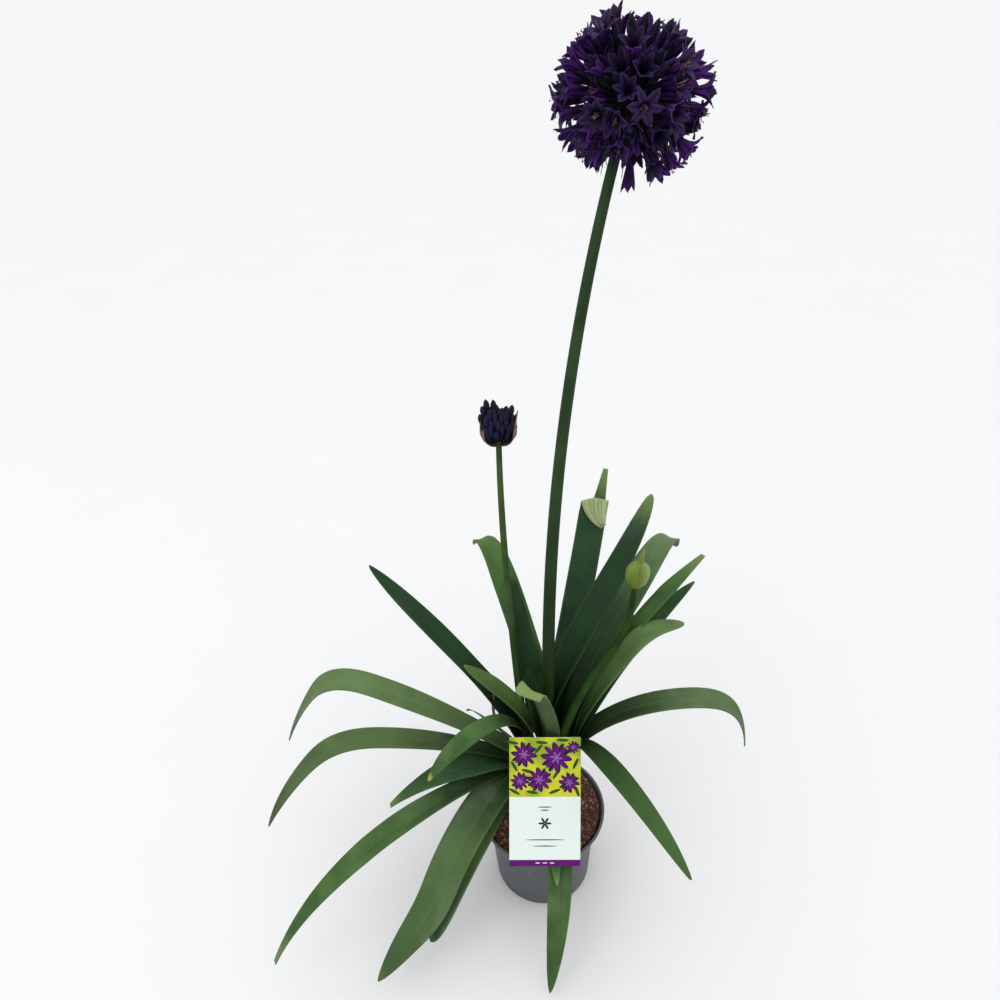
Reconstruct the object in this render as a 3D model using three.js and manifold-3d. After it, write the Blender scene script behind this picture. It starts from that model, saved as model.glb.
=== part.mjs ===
// An agapanthus (lily of the Nile) standing in its round nursery pot, in millimetres, +Z up.
// The origin is the centre of the pot's underside. Three sheathing necks rise from one crown in the
// soil; strap leaves and three flower stems grow out of them: an open head, a cluster of buds and a
// bud that is still shut. A plastic label leans over the front of the rim, held by a tongue that runs
// down inside the pot.

import * as THREE from "three";
import { mergeVertices } from "three/addons/utils/BufferGeometryUtils.js";
import Module from "manifold-3d";

const wasm = await Module();
wasm.setup();

// ---------------------------------------------------------------- driving dimensions

// Gap left between two pieces that touch.
const GAP = 0.3;

// Pot
const POT_HEIGHT = 130;
const RIM_RADIUS = 85;
const BASE_RADIUS = 66;
const POT_WALL = 1.8;
const COLLAR_DEPTH = 42;
const COLLAR_STEP = 2.5;
const GROOVE_HEIGHT = 4;
const DRAIN_HOLES = 6;
const DRAIN_HOLE_RADIUS = 4.5;
const DRAIN_RING_RADIUS = 38;

// Soil
const SOIL_EDGE_HEIGHT = 125;
const SOIL_MOUND = 9;
const CROWN_SEAT_HEIGHT = 96;
const CROWN_SEAT_HALF_LENGTH = 48;
const CROWN_SEAT_HALF_DEPTH = 28;

// Label
const LABEL_WIDTH = 88.8;
const LABEL_HEIGHT = 164.4;
const LABEL_THICKNESS = 0.9;
const LABEL_LEAN = 30;
const LABEL_TILT = 2.7;
const LABEL_CORNER = 1.2;
const LABEL_FOOT = new THREE.Vector3(-3.3, -97.3, 146.7);
const TONGUE_WIDTH = 15;
const TONGUE_OFFSET = -12;
const TONGUE_TOP = 24;
const TONGUE_SOIL_DEPTH = 32;

// Leaf blades
const BLADE_MID_THICKNESS = 1.8;
const BLADE_EDGE_THICKNESS = 0.9;
const FOLD_AT_ROOT = 26;
const FOLD_AT_TIP = 9;

// The necks of sheathing leaf bases: foot and top of the centre line, radii.
const NECKS = {
  left: { foot: [-17, 4], top: [-18, 12], topHeight: 246, footRadius: 15, topRadius: 9.5 },
  middle: { foot: [6, 9], top: [14, 16], topHeight: 250, footRadius: 15, topRadius: 11 },
  right: { foot: [26, 3], top: [40, 12], topHeight: 246, footRadius: 15, topRadius: 9.5 },
};

// Each blade leaves its neck at a height, on a compass heading (0 is +X, 90 is +Y), with a rise in
// degrees above level. Along its length it falls by `arch` degrees (early when `bend` is under 1),
// drifts by `sway` degrees to its left, and nods by `nod` more degrees over `nodSpan` from `nodAt`.
// `offset` sets its root off the neck's centre line. A blade is cut clear of the ones listed before it.
const LEAVES = [
  // right neck
  { name: "leaf_right_3", neck: "right", height: 216, offset: [2, -9], heading: 18, length: 288.8,
    rise: 99, arch: 76, bend: 0.69, sway: 13.5, nod: 46.8, nodAt: 0.64, nodSpan: 0.25,
    width: 31, roll: 0, twist: 0 },
  { name: "leaf_right_2", neck: "right", height: 222, heading: 22.3, length: 340.4,
    rise: 99.2, arch: 85.3, bend: 0.64, sway: 15.1,
    width: 21, taper: 0.3, roll: 0, twist: 0 },
  { name: "leaf_right_4", neck: "right", height: 212, heading: 34, length: 306,
    rise: 79, arch: 69.9, bend: 0.76, sway: 3.7,
    width: 27, roll: 0, twist: 0 },
  { name: "leaf_right_5", neck: "right", height: 224, heading: -2, length: 340,
    rise: 79, arch: 128, bend: 0.75, sway: 8, nod: 35, nodAt: 0.58, nodSpan: 0.25,
    width: 28, roll: 20, twist: 0 },
  { name: "leaf_right_6", neck: "right", height: 232, offset: [4, 0], heading: 290, length: 259,
    rise: 92.8, arch: 136.1, bend: 0.53, sway: 19,
    width: 27, taper: 0.6, roll: 0, twist: 0 },
  { name: "leaf_right_1", neck: "right", height: 228, heading: 32.6, length: 405,
    rise: 101.7, arch: 107.4, bend: 0.78, sway: 25.8, nod: 55.7, nodAt: 0.72, nodSpan: 0.25,
    width: 34, taper: 0.2, roll: 0, twist: 0 },
  // middle neck
  { name: "leaf_middle_6", neck: "middle", height: 240, offset: [0, -14], heading: 225, length: 163,
    rise: 89, arch: 26, bend: 1, sway: 0, nod: 100, nodAt: 0.88, nodSpan: 0.05,
    width: 36, taper: 0.1, roll: 0, twist: 0 },
  { name: "leaf_middle_7", neck: "middle", height: 188, offset: [-2, -4], heading: 271.7, length: 136,
    rise: -14.9, arch: 19.3, bend: 0.86, sway: -0.8,
    width: 18, roll: 0, twist: 0 },
  { name: "leaf_middle_8", neck: "middle", height: 172, offset: [2, -4], heading: 279.6, length: 271,
    rise: -5.7, arch: 72.4, bend: 1.09, sway: -35,
    width: 31, taper: 0.85, roll: 0, twist: 0 },
  { name: "leaf_middle_3", neck: "middle", height: 240, heading: 26.9, length: 374,
    rise: 96.7, arch: 74.6, bend: 0.81, sway: 27.2,
    width: 36, roll: 0, twist: 0 },
  { name: "leaf_middle_1", neck: "middle", height: 236, heading: 57.8, length: 369.3,
    rise: 71.6, arch: 24, bend: 0.81, sway: 14.2, nod: -172, nodAt: 0.885, nodSpan: 0.035,
    width: 34, taper: 0.26, roll: 0, twist: 0 },
  { name: "leaf_middle_2", neck: "middle", height: 238.8, offset: [0, 4.9], heading: 60, length: 364.6,
    rise: 65.4, arch: 11.4, bend: 0.72, sway: 5.1,
    width: 30, roll: 0, twist: 25 },
  { name: "leaf_middle_5", neck: "middle", height: 246, heading: 125, length: 240,
    rise: 61, arch: -22, bend: 1, sway: -4,
    width: 30, roll: 0, twist: 0 },
  { name: "leaf_middle_4", neck: "middle", height: 238, heading: 117, length: 350,
    rise: 72, arch: 47, bend: 1.25, sway: -4, nod: 74, nodAt: 0.69, nodSpan: 0.25,
    width: 36, roll: 0, twist: 0 },
  // left neck
  { name: "leaf_left_3", neck: "left", height: 238, heading: 205.9, length: 199,
    rise: 90.3, arch: 91, bend: 0.76, sway: -2.4, nod: 51.1, nodAt: 0.29, nodSpan: 0.25,
    width: 28, taper: 0.4, roll: 0, twist: 0 },
  { name: "leaf_left_2", neck: "left", height: 240, heading: 168.8, length: 161,
    rise: 107.1, arch: 92.7, bend: 0.81, sway: -16.9,
    width: 28, taper: 0.4, roll: 0, twist: 0 },
  { name: "leaf_left_6", neck: "left", height: 206, heading: 197.1, length: 206,
    rise: 62.7, arch: 103.6, bend: 0.63, sway: -6.4,
    width: 38, taper: 0.35, roll: 0, twist: 0 },
  { name: "leaf_left_8", neck: "left", height: 222, heading: 225.1, length: 335,
    rise: 23.9, arch: 102.9, bend: 0.48, sway: -2.9, nod: -47.2, nodAt: 0.58, nodSpan: 0.25,
    width: 50, taper: 0.5, roll: 0, twist: 0 },
  { name: "leaf_left_7", neck: "left", height: 212, heading: 208.6, length: 432,
    rise: 17, arch: 80.2, bend: 1.04, sway: -4.2,
    width: 33, roll: 0, twist: 0 },
  { name: "leaf_left_4", neck: "left", height: 222, heading: 171, length: 450,
    rise: 39, arch: 43, bend: 1, sway: -7, nod: 64, nodAt: 0.49, nodSpan: 0.25,
    width: 31, roll: -20, twist: 0 },
  { name: "leaf_left_5", neck: "left", height: 214, heading: 185, length: 446,
    rise: 35, arch: 55, bend: 1, sway: -1, nod: 46, nodAt: 0.44, nodSpan: 0.25,
    width: 29, roll: -15, twist: 0 },
  { name: "leaf_left_1", neck: "left", height: 238, heading: 158, length: 333,
    rise: 90, arch: 77, bend: 0.5, sway: -26,
    width: 29, roll: 0, twist: 0 },
  { name: "leaf_left_9", neck: "left", height: 200, heading: 229.1, length: 249,
    rise: -0.1, arch: 53.1, bend: 0.56, sway: -2,
    width: 32, taper: 0.35, roll: 0, twist: 0 },
  // withered strips of old leaves
  { name: "dry_strip_1", neck: "left", height: 232, heading: 163.1, length: 116,
    rise: 39.4, arch: 97.4, bend: 1.92, sway: -41.6, width: 6, roll: 0, twist: 60 },
  { name: "dry_strip_2", neck: "left", height: 225, heading: 156.3, length: 120.7,
    rise: 14.8, arch: -85.5, bend: 0.6, sway: 21.1, width: 5, roll: 0, twist: 80 },
];

// Flower stems, drawn by the same rule as the blades' centre lines.
const STEMS = {
  flower_stem_tall: { neck: "middle", height: 228, heading: 48, length: 755, rise: 91.5, arch: 22,
    bend: 1.5, sway: -12, footRadius: 8.2, topRadius: 4.5 },
  flower_stem_budding: { neck: "left", height: 226, heading: 111, length: 420, rise: 81, arch: 19,
    bend: 0.85, sway: -24, footRadius: 6, topRadius: 3.1 },
  flower_stem_short: { neck: "right", height: 122, offset: [-6, -13], heading: 28.4, length: 390.5,
    rise: 100.9, arch: 73.9, bend: 1.07, sway: -6, nod: -55.9, nodAt: 0.72, nodSpan: 0.24,
    footRadius: 6, topRadius: 3.1 },
};

// Open head: florets and buds on stalks all round one small centre.
const HEAD_FLORETS = 40;
const HEAD_BUDS = 13;
const HEAD_STALK_LENGTH = 44;
const HEAD_STALK_RADIUS = 1.3;
const HEAD_CENTRE_RADIUS = 9;
const FLORET_LENGTH = 30;
const TEPAL_REACH = 15;
const TEPAL_THICKNESS = 1.2;

// Cluster of buds in its papery bracts
const CLUSTER_BUDS = 20;
const CLUSTER_STALK_LENGTH = 14;
const CLUSTER_BUD_LENGTH = 20;
const CLUSTER_BUD_RADIUS = 3.4;
const CLUSTER_SEAT_RADIUS = 5;
const BRACT_LENGTH = 32;
const BRACT_WIDTH = 26;

// Closed bud with its beak
const CLOSED_BUD_LENGTH = 52;
const CLOSED_BUD_RADIUS = 13.6;

const RANDOM_SEED = 20417;

// ---------------------------------------------------------------- shared shape helpers

const radians = THREE.MathUtils.degToRad;
const lerp = THREE.MathUtils.lerp;
const smooth = (x) => THREE.MathUtils.smoothstep(x, 0, 1);

// Seeded random numbers from 0 to 1.
function seededRandom(seed) {
  let state = seed;
  return () => {
    state = (state * 1664525 + 1013904223) % 4294967296;
    return state / 4294967296;
  };
}

// Turns a closed three.js geometry into a manifold-3d solid, without the faces that shrank to a line.
function toSolid(geometry) {
  const bare = new THREE.BufferGeometry().setAttribute("position", geometry.getAttribute("position"));
  if (geometry.index) bare.setIndex(geometry.index);
  const merged = mergeVertices(bare, 1e-3);
  const corners = Array.from(merged.index.array);
  const kept = [];
  for (let i = 0; i < corners.length; i += 3) {
    const [a, b, c] = corners.slice(i, i + 3);
    if (a !== b && b !== c && a !== c) kept.push(a, b, c);
  }
  return new wasm.Manifold(
    new wasm.Mesh({
      numProp: 3,
      vertProperties: new Float32Array(merged.getAttribute("position").array),
      triVerts: new Uint32Array(kept),
    }),
  );
}

function toGeometry(solid) {
  const { vertProperties, triVerts } = solid.getMesh();
  const geometry = new THREE.BufferGeometry();
  geometry.setAttribute("position", new THREE.BufferAttribute(vertProperties, 3));
  geometry.setIndex(new THREE.BufferAttribute(triVerts, 1));
  geometry.computeVertexNormals();
  return geometry;
}

function joined(solids) {
  return solids.reduce((all, solid) => all.add(solid));
}

// Keeps the largest body of a solid that a cut left in pieces.
function largestBody(solid) {
  return solid.decompose().reduce((best, body) => (body.volume() > best.volume() ? body : best));
}

// Closed surface through rings of points that run anticlockwise about the direction of travel. A
// mirrored ring has its lower half split into triangles like its upper half.
function loft(rings, { capFrom = 0, mirrored = false } = {}) {
  const count = rings[0].length;
  const last = rings.length - 1;
  const at = (ring, k) => ring * count + (k % count);
  const index = [];
  for (let i = 0; i < last; i++) {
    for (let k = 0; k < count; k++) {
      const [a, b, c, d] = [at(i, k), at(i, k + 1), at(i + 1, k + 1), at(i + 1, k)];
      if (mirrored && k >= count / 2) index.push(a, b, d, b, c, d);
      else index.push(a, b, c, a, c, d);
    }
  }
  for (let k = 1; k < count - 1; k++) {
    index.push(at(0, capFrom), at(0, capFrom + k + 1), at(0, capFrom + k));
    index.push(at(last, capFrom), at(last, capFrom + k), at(last, capFrom + k + 1));
  }
  const geometry = new THREE.BufferGeometry().setFromPoints(rings.flat());
  geometry.setIndex(index);
  return geometry;
}

// Ring of `sides` points about a centre, in the plane of two unit vectors.
function ring(centre, across, up, radiusAcross, radiusUp, sides) {
  return Array.from({ length: sides }, (_, k) => {
    const angle = (2 * Math.PI * k) / sides;
    return centre
      .clone()
      .addScaledVector(across, radiusAcross * Math.cos(angle))
      .addScaledVector(up, radiusUp * Math.sin(angle));
  });
}

function turned(profile, segments) {
  const geometry = new THREE.LatheGeometry(
    profile.map(([radius, z]) => new THREE.Vector2(radius, z)),
    segments,
  );
  return toSolid(geometry.rotateX(Math.PI / 2));
}

// ---------------------------------------------------------------- growth: necks, blades, stems

function neckPoint(neck, height) {
  const along = (height - SOIL_EDGE_HEIGHT) / (neck.topHeight - SOIL_EDGE_HEIGHT);
  return new THREE.Vector3(
    lerp(neck.foot[0], neck.top[0], along),
    lerp(neck.foot[1], neck.top[1], along),
    height,
  );
}

// Direction of a centre line at a share t of its length.
function headingAt(plant, t) {
  const nodding = plant.nod ? plant.nod * smooth((t - plant.nodAt) / plant.nodSpan) : 0;
  const climb = radians(plant.rise - plant.arch * t ** plant.bend - nodding);
  const compass = radians(plant.heading + plant.sway * t);
  const level = new THREE.Vector3(Math.cos(compass), Math.sin(compass), 0);
  return {
    forward: level.clone().multiplyScalar(Math.cos(climb)).setZ(Math.sin(climb)),
    side: new THREE.Vector3(-Math.sin(compass), Math.cos(compass), 0),
    face: level.clone().multiplyScalar(-Math.sin(climb)).setZ(Math.cos(climb)),
  };
}

// Points and directions of a centre line at the given shares of its length.
function centreLine(plant, shares) {
  const fineSteps = 120;
  const stride = plant.length / fineSteps;
  const [asideX, asideY] = plant.offset ?? [0, 0];
  const point = neckPoint(NECKS[plant.neck], plant.height).add(new THREE.Vector3(asideX, asideY, 0));
  const path = [point.clone()];
  for (let i = 0; i < fineSteps; i++) {
    point.addScaledVector(headingAt(plant, (i + 0.5) / fineSteps).forward, stride);
    path.push(point.clone());
  }
  return shares.map((t) => {
    const place = t * fineSteps;
    const below = Math.min(Math.floor(place), fineSteps - 1);
    return { t, centre: path[below].clone().lerp(path[below + 1], place - below), ...headingAt(plant, t) };
  });
}

// Shares of the length where a blade has a section: even, with more of them in a sharp fold.
function bladeStations(leaf) {
  const steps = THREE.MathUtils.clamp(Math.round(leaf.length / 32), 5, 12);
  const even = Array.from({ length: steps + 1 }, (_, i) => i / steps);
  if (!leaf.nod || leaf.nodSpan > 0.1) return even;
  const foldEnd = leaf.nodAt + leaf.nodSpan;
  const clear = even.filter((t) => t < leaf.nodAt - 0.02 || t > foldEnd + 0.02);
  const fold = [0, 0.25, 0.5, 0.75, 1].map((u) => leaf.nodAt + u * leaf.nodSpan);
  return [...clear, ...fold].sort((a, b) => a - b);
}

// Width of a blade: narrow where it leaves the neck, widest past the middle, blunt-pointed tip.
function bladeWidth(leaf, t) {
  const taper = leaf.taper ?? 0.45;
  const swell = lerp(0.55, 1, smooth(t / 0.45));
  const towardsTip = Math.max(0, (t - 1 + taper) / taper);
  return Math.max(leaf.width * swell * (1 - towardsTip ** 2.2) ** 0.8, 1.6);
}

// A channelled strap blade; `grow` thickens it all round.
function bladeSolid(leaf, grow = 0) {
  const middle = BLADE_MID_THICKNESS / 2 + grow;
  const edge = BLADE_EDGE_THICKNESS / 2 + grow;
  const rings = centreLine(leaf, bladeStations(leaf)).map(({ t, centre, side, face }) => {
    const roll = radians(leaf.roll + leaf.twist * t);
    const across = side.clone().multiplyScalar(Math.cos(roll)).addScaledVector(face, Math.sin(roll));
    const up = face.clone().multiplyScalar(Math.cos(roll)).addScaledVector(side, -Math.sin(roll));
    const fold = radians(lerp(FOLD_AT_ROOT, FOLD_AT_TIP, t));
    const half = bladeWidth(leaf, t) / 2 + grow;
    const point = (sideways, lift) =>
      centre.clone().addScaledVector(across, sideways).addScaledVector(up, lift);
    const reach = half * Math.cos(fold);
    const lift = (half / 2) * Math.sin(fold);
    return [
      point(-reach, lift + edge),
      point(-reach, lift - edge),
      point(0, -lift - middle),
      point(reach, lift - edge),
      point(reach, lift + edge),
      point(0, -lift + middle),
    ];
  });
  return toSolid(loft(rings, { capFrom: 5, mirrored: true }));
}

// A tapering round stem; `grow` thickens it all round.
function stemSolid(stem, grow = 0) {
  const steps = Math.round(stem.length / 60) + 3;
  const shares = Array.from({ length: steps + 1 }, (_, i) => i / steps);
  const rings = centreLine(stem, shares).map(({ t, centre, side, face }) => {
    const radius = lerp(stem.footRadius, stem.topRadius, t ** 0.6) + grow;
    return ring(centre, side, face, radius, radius, 8);
  });
  return toSolid(loft(rings));
}

function stemTop(stem) {
  const [end] = centreLine(stem, [1]);
  return end;
}

// One neck: wrapped leaf bases, each a little slimmer than the one it comes out of.
function neckSolid(neck) {
  const sheaths = 4;
  const rings = [];
  for (let i = 0; i <= sheaths; i++) {
    const radius = lerp(neck.footRadius, neck.topRadius, i / sheaths);
    const height = lerp(CROWN_SEAT_HEIGHT + 10, neck.topHeight, i / sheaths);
    rings.push(neckRing(neck, height, radius, 10));
    if (i < sheaths) rings.push(neckRing(neck, height + 1, radius - 0.8, 10));
  }
  return toSolid(loft(rings));
}

// Room that a neck takes up, a little over its size.
function neckRoom(neck) {
  return toSolid(
    loft([
      neckRing(neck, CROWN_SEAT_HEIGHT + 10, neck.footRadius + 2 * GAP, 10),
      neckRing(neck, neck.topHeight + GAP, neck.topRadius + 2 * GAP, 10),
    ]),
  );
}

function neckRing(neck, height, radius, sides) {
  const across = new THREE.Vector3(1, 0, 0);
  const back = new THREE.Vector3(0, 1, 0);
  return ring(neckPoint(neck, height), across, back, radius, radius * 0.88, sides);
}

// Upright oval block, used for the crown's foot and for its seat in the soil.
function ovalBlock(halfLength, halfDepth, bottom, top) {
  const geometry = new THREE.CylinderGeometry(1, 1, top - bottom, 20).rotateX(Math.PI / 2);
  geometry.scale(halfLength, halfDepth, 1);
  return toSolid(geometry.translate(4, 8, (top + bottom) / 2));
}

function crownSolid() {
  const foot = ovalBlock(
    CROWN_SEAT_HALF_LENGTH - GAP,
    CROWN_SEAT_HALF_DEPTH - GAP,
    CROWN_SEAT_HEIGHT + GAP,
    SOIL_EDGE_HEIGHT + SOIL_MOUND - 3,
  );
  return joined([foot, ...Object.values(NECKS).map(neckSolid)]);
}

// ---------------------------------------------------------------- pot, soil, label

const COLLAR_FOOT_HEIGHT = POT_HEIGHT - COLLAR_DEPTH;
const BODY_TOP_RADIUS = 71;
const LIP_DEPTH = 4;
const LIP_REACH = 2.5;
const FLOOR_HEIGHT = GROOVE_HEIGHT + 2;

function potSolid() {
  const collarFoot = BODY_TOP_RADIUS + COLLAR_STEP;
  const collarTop = RIM_RADIUS - LIP_REACH;
  const wall = turned(
    [
      [0, 0],
      [20, 0],
      [24, GROOVE_HEIGHT],
      [51, GROOVE_HEIGHT],
      [54, 0],
      [BASE_RADIUS - 2, 0],
      [BASE_RADIUS, 2],
      [BODY_TOP_RADIUS, COLLAR_FOOT_HEIGHT],
      [collarFoot, COLLAR_FOOT_HEIGHT + 2],
      [collarTop, POT_HEIGHT - LIP_DEPTH],
      [RIM_RADIUS, POT_HEIGHT - LIP_DEPTH + 0.8],
      [RIM_RADIUS, POT_HEIGHT],
      [collarTop - 0.4, POT_HEIGHT],
      [collarTop - POT_WALL, POT_HEIGHT - LIP_DEPTH - 0.6],
      [collarFoot - POT_WALL, COLLAR_FOOT_HEIGHT + 3],
      [BODY_TOP_RADIUS - POT_WALL, COLLAR_FOOT_HEIGHT + 0.6],
      [BASE_RADIUS - POT_WALL, FLOOR_HEIGHT],
      [0, FLOOR_HEIGHT],
    ],
    36,
  );
  const holes = Array.from({ length: DRAIN_HOLES }, (_, i) => {
    const angle = (2 * Math.PI * (i + 0.5)) / DRAIN_HOLES;
    const drill = new THREE.CylinderGeometry(DRAIN_HOLE_RADIUS, DRAIN_HOLE_RADIUS, 20, 12);
    drill.rotateX(Math.PI / 2);
    drill.translate(DRAIN_RING_RADIUS * Math.cos(angle), DRAIN_RING_RADIUS * Math.sin(angle), 0);
    return toSolid(drill);
  });
  return wall.subtract(joined(holes));
}

// Radius of the pot's inside at a height.
function potInside(height) {
  if (height <= COLLAR_FOOT_HEIGHT + 0.6) {
    const share = (height - FLOOR_HEIGHT) / (COLLAR_FOOT_HEIGHT + 0.6 - FLOOR_HEIGHT);
    return lerp(BASE_RADIUS, BODY_TOP_RADIUS, share) - POT_WALL;
  }
  const share = (height - COLLAR_FOOT_HEIGHT - 3) / (POT_HEIGHT - LIP_DEPTH - COLLAR_FOOT_HEIGHT - 3.6);
  return lerp(BODY_TOP_RADIUS + COLLAR_STEP, RIM_RADIUS - LIP_REACH, share) - POT_WALL;
}

// Lumpy potting mix, a little mounded in the middle and higher at the back than at the front.
function soilSolid() {
  const random = seededRandom(RANDOM_SEED);
  const sectors = 24;
  const sideHeights = [FLOOR_HEIGHT + GAP, COLLAR_FOOT_HEIGHT, COLLAR_FOOT_HEIGHT + 4];
  const circle = (radius, heightAt) =>
    Array.from({ length: sectors }, (_, k) => {
      const angle = (2 * Math.PI * k) / sectors;
      return new THREE.Vector3(radius * Math.cos(angle), radius * Math.sin(angle), heightAt(angle));
    });
  const rings = sideHeights.map((height) => circle(potInside(height) - GAP - 0.6, () => height));
  const edge = potInside(SOIL_EDGE_HEIGHT - 3) - GAP - 0.8;
  const shares = [1, 0.88, 0.7, 0.5, 0.25];
  for (const share of shares) {
    const lump = share === 1 ? 1 : 2.4;
    const top = (angle) =>
      SOIL_EDGE_HEIGHT + SOIL_MOUND * (1 - share * share) + 2.5 * share * Math.sin(angle + 0.4) +
      lump * (random() - 0.5);
    rings.push(circle(edge * share, top));
  }
  const seat = ovalBlock(CROWN_SEAT_HALF_LENGTH, CROWN_SEAT_HALF_DEPTH, CROWN_SEAT_HEIGHT, POT_HEIGHT + 40);
  return largestBody(toSolid(loft(rings)).subtract(seat).subtract(tongueSolid(GAP)));
}

// The label's own frame: origin at the middle of the card's foot, x across, y up the card, z out.
function labelMatrix() {
  const lean = new THREE.Matrix4().makeRotationX(radians(90 - LABEL_LEAN));
  const tilt = new THREE.Matrix4().makeRotationZ(radians(-LABEL_TILT));
  return new THREE.Matrix4().makeTranslation(LABEL_FOOT).multiply(lean).multiply(tilt);
}

// Card with rounded corners.
function cardSolid(grow = 0) {
  const half = LABEL_WIDTH / 2 + grow;
  const top = LABEL_HEIGHT + 2 * grow;
  const corner = LABEL_CORNER;
  const outline = new THREE.Shape();
  outline.absarc(-half + corner, corner, corner, Math.PI, 1.5 * Math.PI, false);
  outline.absarc(half - corner, corner, corner, 1.5 * Math.PI, 2 * Math.PI, false);
  outline.absarc(half - corner, top - corner, corner, 0, 0.5 * Math.PI, false);
  outline.absarc(-half + corner, top - corner, corner, 0.5 * Math.PI, Math.PI, false);
  const geometry = new THREE.ExtrudeGeometry(outline, {
    depth: LABEL_THICKNESS + 2 * grow,
    bevelEnabled: false,
    curveSegments: 4,
  });
  geometry.translate(0, -grow, -LABEL_THICKNESS / 2 - grow).applyMatrix4(labelMatrix());
  return toSolid(geometry);
}

// Tongue of the label: it leaves the card's back above the rim and runs down inside the pot into the soil.
function tongueSolid(grow = 0) {
  const start = new THREE.Vector3(TONGUE_OFFSET, TONGUE_TOP, 0).applyMatrix4(labelMatrix());
  const soilEnd = SOIL_EDGE_HEIGHT - TONGUE_SOIL_DEPTH;
  const route = [
    start,
    new THREE.Vector3(start.x, -78.5, POT_HEIGHT + 12),
    new THREE.Vector3(start.x, -76, POT_HEIGHT + 1),
    new THREE.Vector3(start.x, -73, POT_HEIGHT - 12),
    new THREE.Vector3(start.x, -64, soilEnd + 5),
    new THREE.Vector3(start.x, -62, soilEnd - grow),
  ];
  const widths = [1, 1, 1, 1, 0.8, 0.3];
  const rings = route.map((point, i) => {
    const before = route[Math.max(i - 1, 0)];
    const after = route[Math.min(i + 1, route.length - 1)];
    const along = after.clone().sub(before).normalize();
    const out = along.clone().cross(new THREE.Vector3(1, 0, 0)).normalize();
    const half = (TONGUE_WIDTH / 2) * widths[i] + grow;
    const thick = LABEL_THICKNESS / 2 + grow;
    return [[-half, -thick], [half, -thick], [half, thick], [-half, thick]].map(([u, v]) =>
      point.clone().add(new THREE.Vector3(u, 0, 0)).addScaledVector(out, v),
    );
  });
  return toSolid(loft(rings));
}

// ---------------------------------------------------------------- flowers

// Turns a solid geometry built along +Z so that it points along `direction` from `place`.
function aimed(geometry, direction, place) {
  const turn = new THREE.Quaternion().setFromUnitVectors(new THREE.Vector3(0, 0, 1), direction);
  return geometry.clone().applyMatrix4(new THREE.Matrix4().compose(place, turn, new THREE.Vector3(1, 1, 1)));
}

function polar(radius, degrees, z) {
  const angle = radians(degrees);
  return new THREE.Vector3(radius * Math.cos(angle), radius * Math.sin(angle), z);
}

// Trumpet floret along +Z on a stalk from `root`: a tube that opens into six pointed tepals.
function floretGeometry(root, reach) {
  const points = [];
  const add = (point) => points.push(point) - 1;
  const at = (radius, degrees, share, lift = 0) => add(polar(radius, degrees, share * FLORET_LENGTH + lift));
  const sixth = [0, 1, 2, 3, 4, 5];
  const stalkFoot = sixth.map((k) => add(root.clone().add(polar(HEAD_STALK_RADIUS, 60 * k + 30, 0))));
  const stalkEnd = sixth.map((k) => at(HEAD_STALK_RADIUS, 60 * k + 30, 0));
  const tepals = sixth.map((k) => ({
    valley: at(4.6, 60 * k + 30, 0.47),
    before: at(0.62 * reach, 60 * k + 43, 0.68),
    tip: at(reach, 60 * k + 60, 0.86),
    after: at(0.62 * reach, 60 * k + 77, 0.68),
    middle: at(0.6 * reach, 60 * k + 60, 0.68, TEPAL_THICKNESS),
  }));
  const throat = at(0, 0, 0.3);
  const faces = [];
  for (const k of sixth) {
    const n = (k + 1) % 6;
    const { valley, before, tip, after, middle } = tepals[k];
    const nextValley = tepals[n].valley;
    faces.push([stalkFoot[k], stalkFoot[n], stalkEnd[n]], [stalkFoot[k], stalkEnd[n], stalkEnd[k]]);
    faces.push([stalkEnd[k], stalkEnd[n], nextValley], [stalkEnd[k], nextValley, valley]);
    faces.push([valley, nextValley, before], [nextValley, after, before], [before, after, tip]);
    faces.push([middle, valley, before], [middle, before, tip], [middle, tip, after]);
    faces.push([middle, after, nextValley], [middle, nextValley, throat], [middle, throat, valley]);
  }
  for (let k = 1; k < 5; k++) faces.push([stalkFoot[0], stalkFoot[k + 1], stalkFoot[k]]);
  const geometry = new THREE.BufferGeometry().setFromPoints(points);
  geometry.setIndex(faces.flat());
  return geometry;
}

// Club-shaped flower bud along +Z on a stalk from `root`.
function budGeometry(root, length, radius) {
  const across = new THREE.Vector3(1, 0, 0);
  const back = new THREE.Vector3(0, 1, 0);
  const stalk = HEAD_STALK_RADIUS / radius;
  const profile = [[0, stalk], [0.6, 1], [1, 0.25]];
  const rings = profile.map(([share, fat]) =>
    ring(new THREE.Vector3(0, 0, share * length), across, back, fat * radius, fat * radius, 5),
  );
  return loft([ring(root, across, back, HEAD_STALK_RADIUS, HEAD_STALK_RADIUS, 5), ...rings]);
}

// Where a stalk starts, seen from its far end in the frame of a shape aimed along `aim`.
function rootSeenFrom(end, aim, root) {
  const turn = new THREE.Quaternion().setFromUnitVectors(new THREE.Vector3(0, 0, 1), aim);
  return root.clone().sub(end).applyQuaternion(turn.invert());
}

// Directions spread evenly over a sphere, from the top down.
function evenDirections(count) {
  const golden = Math.PI * (3 - Math.sqrt(5));
  return Array.from({ length: count }, (_, i) => {
    const z = 1 - (2 * (i + 0.5)) / count;
    const radius = Math.sqrt(1 - z * z);
    return new THREE.Vector3(radius * Math.cos(golden * i), radius * Math.sin(golden * i), z);
  });
}

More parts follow.
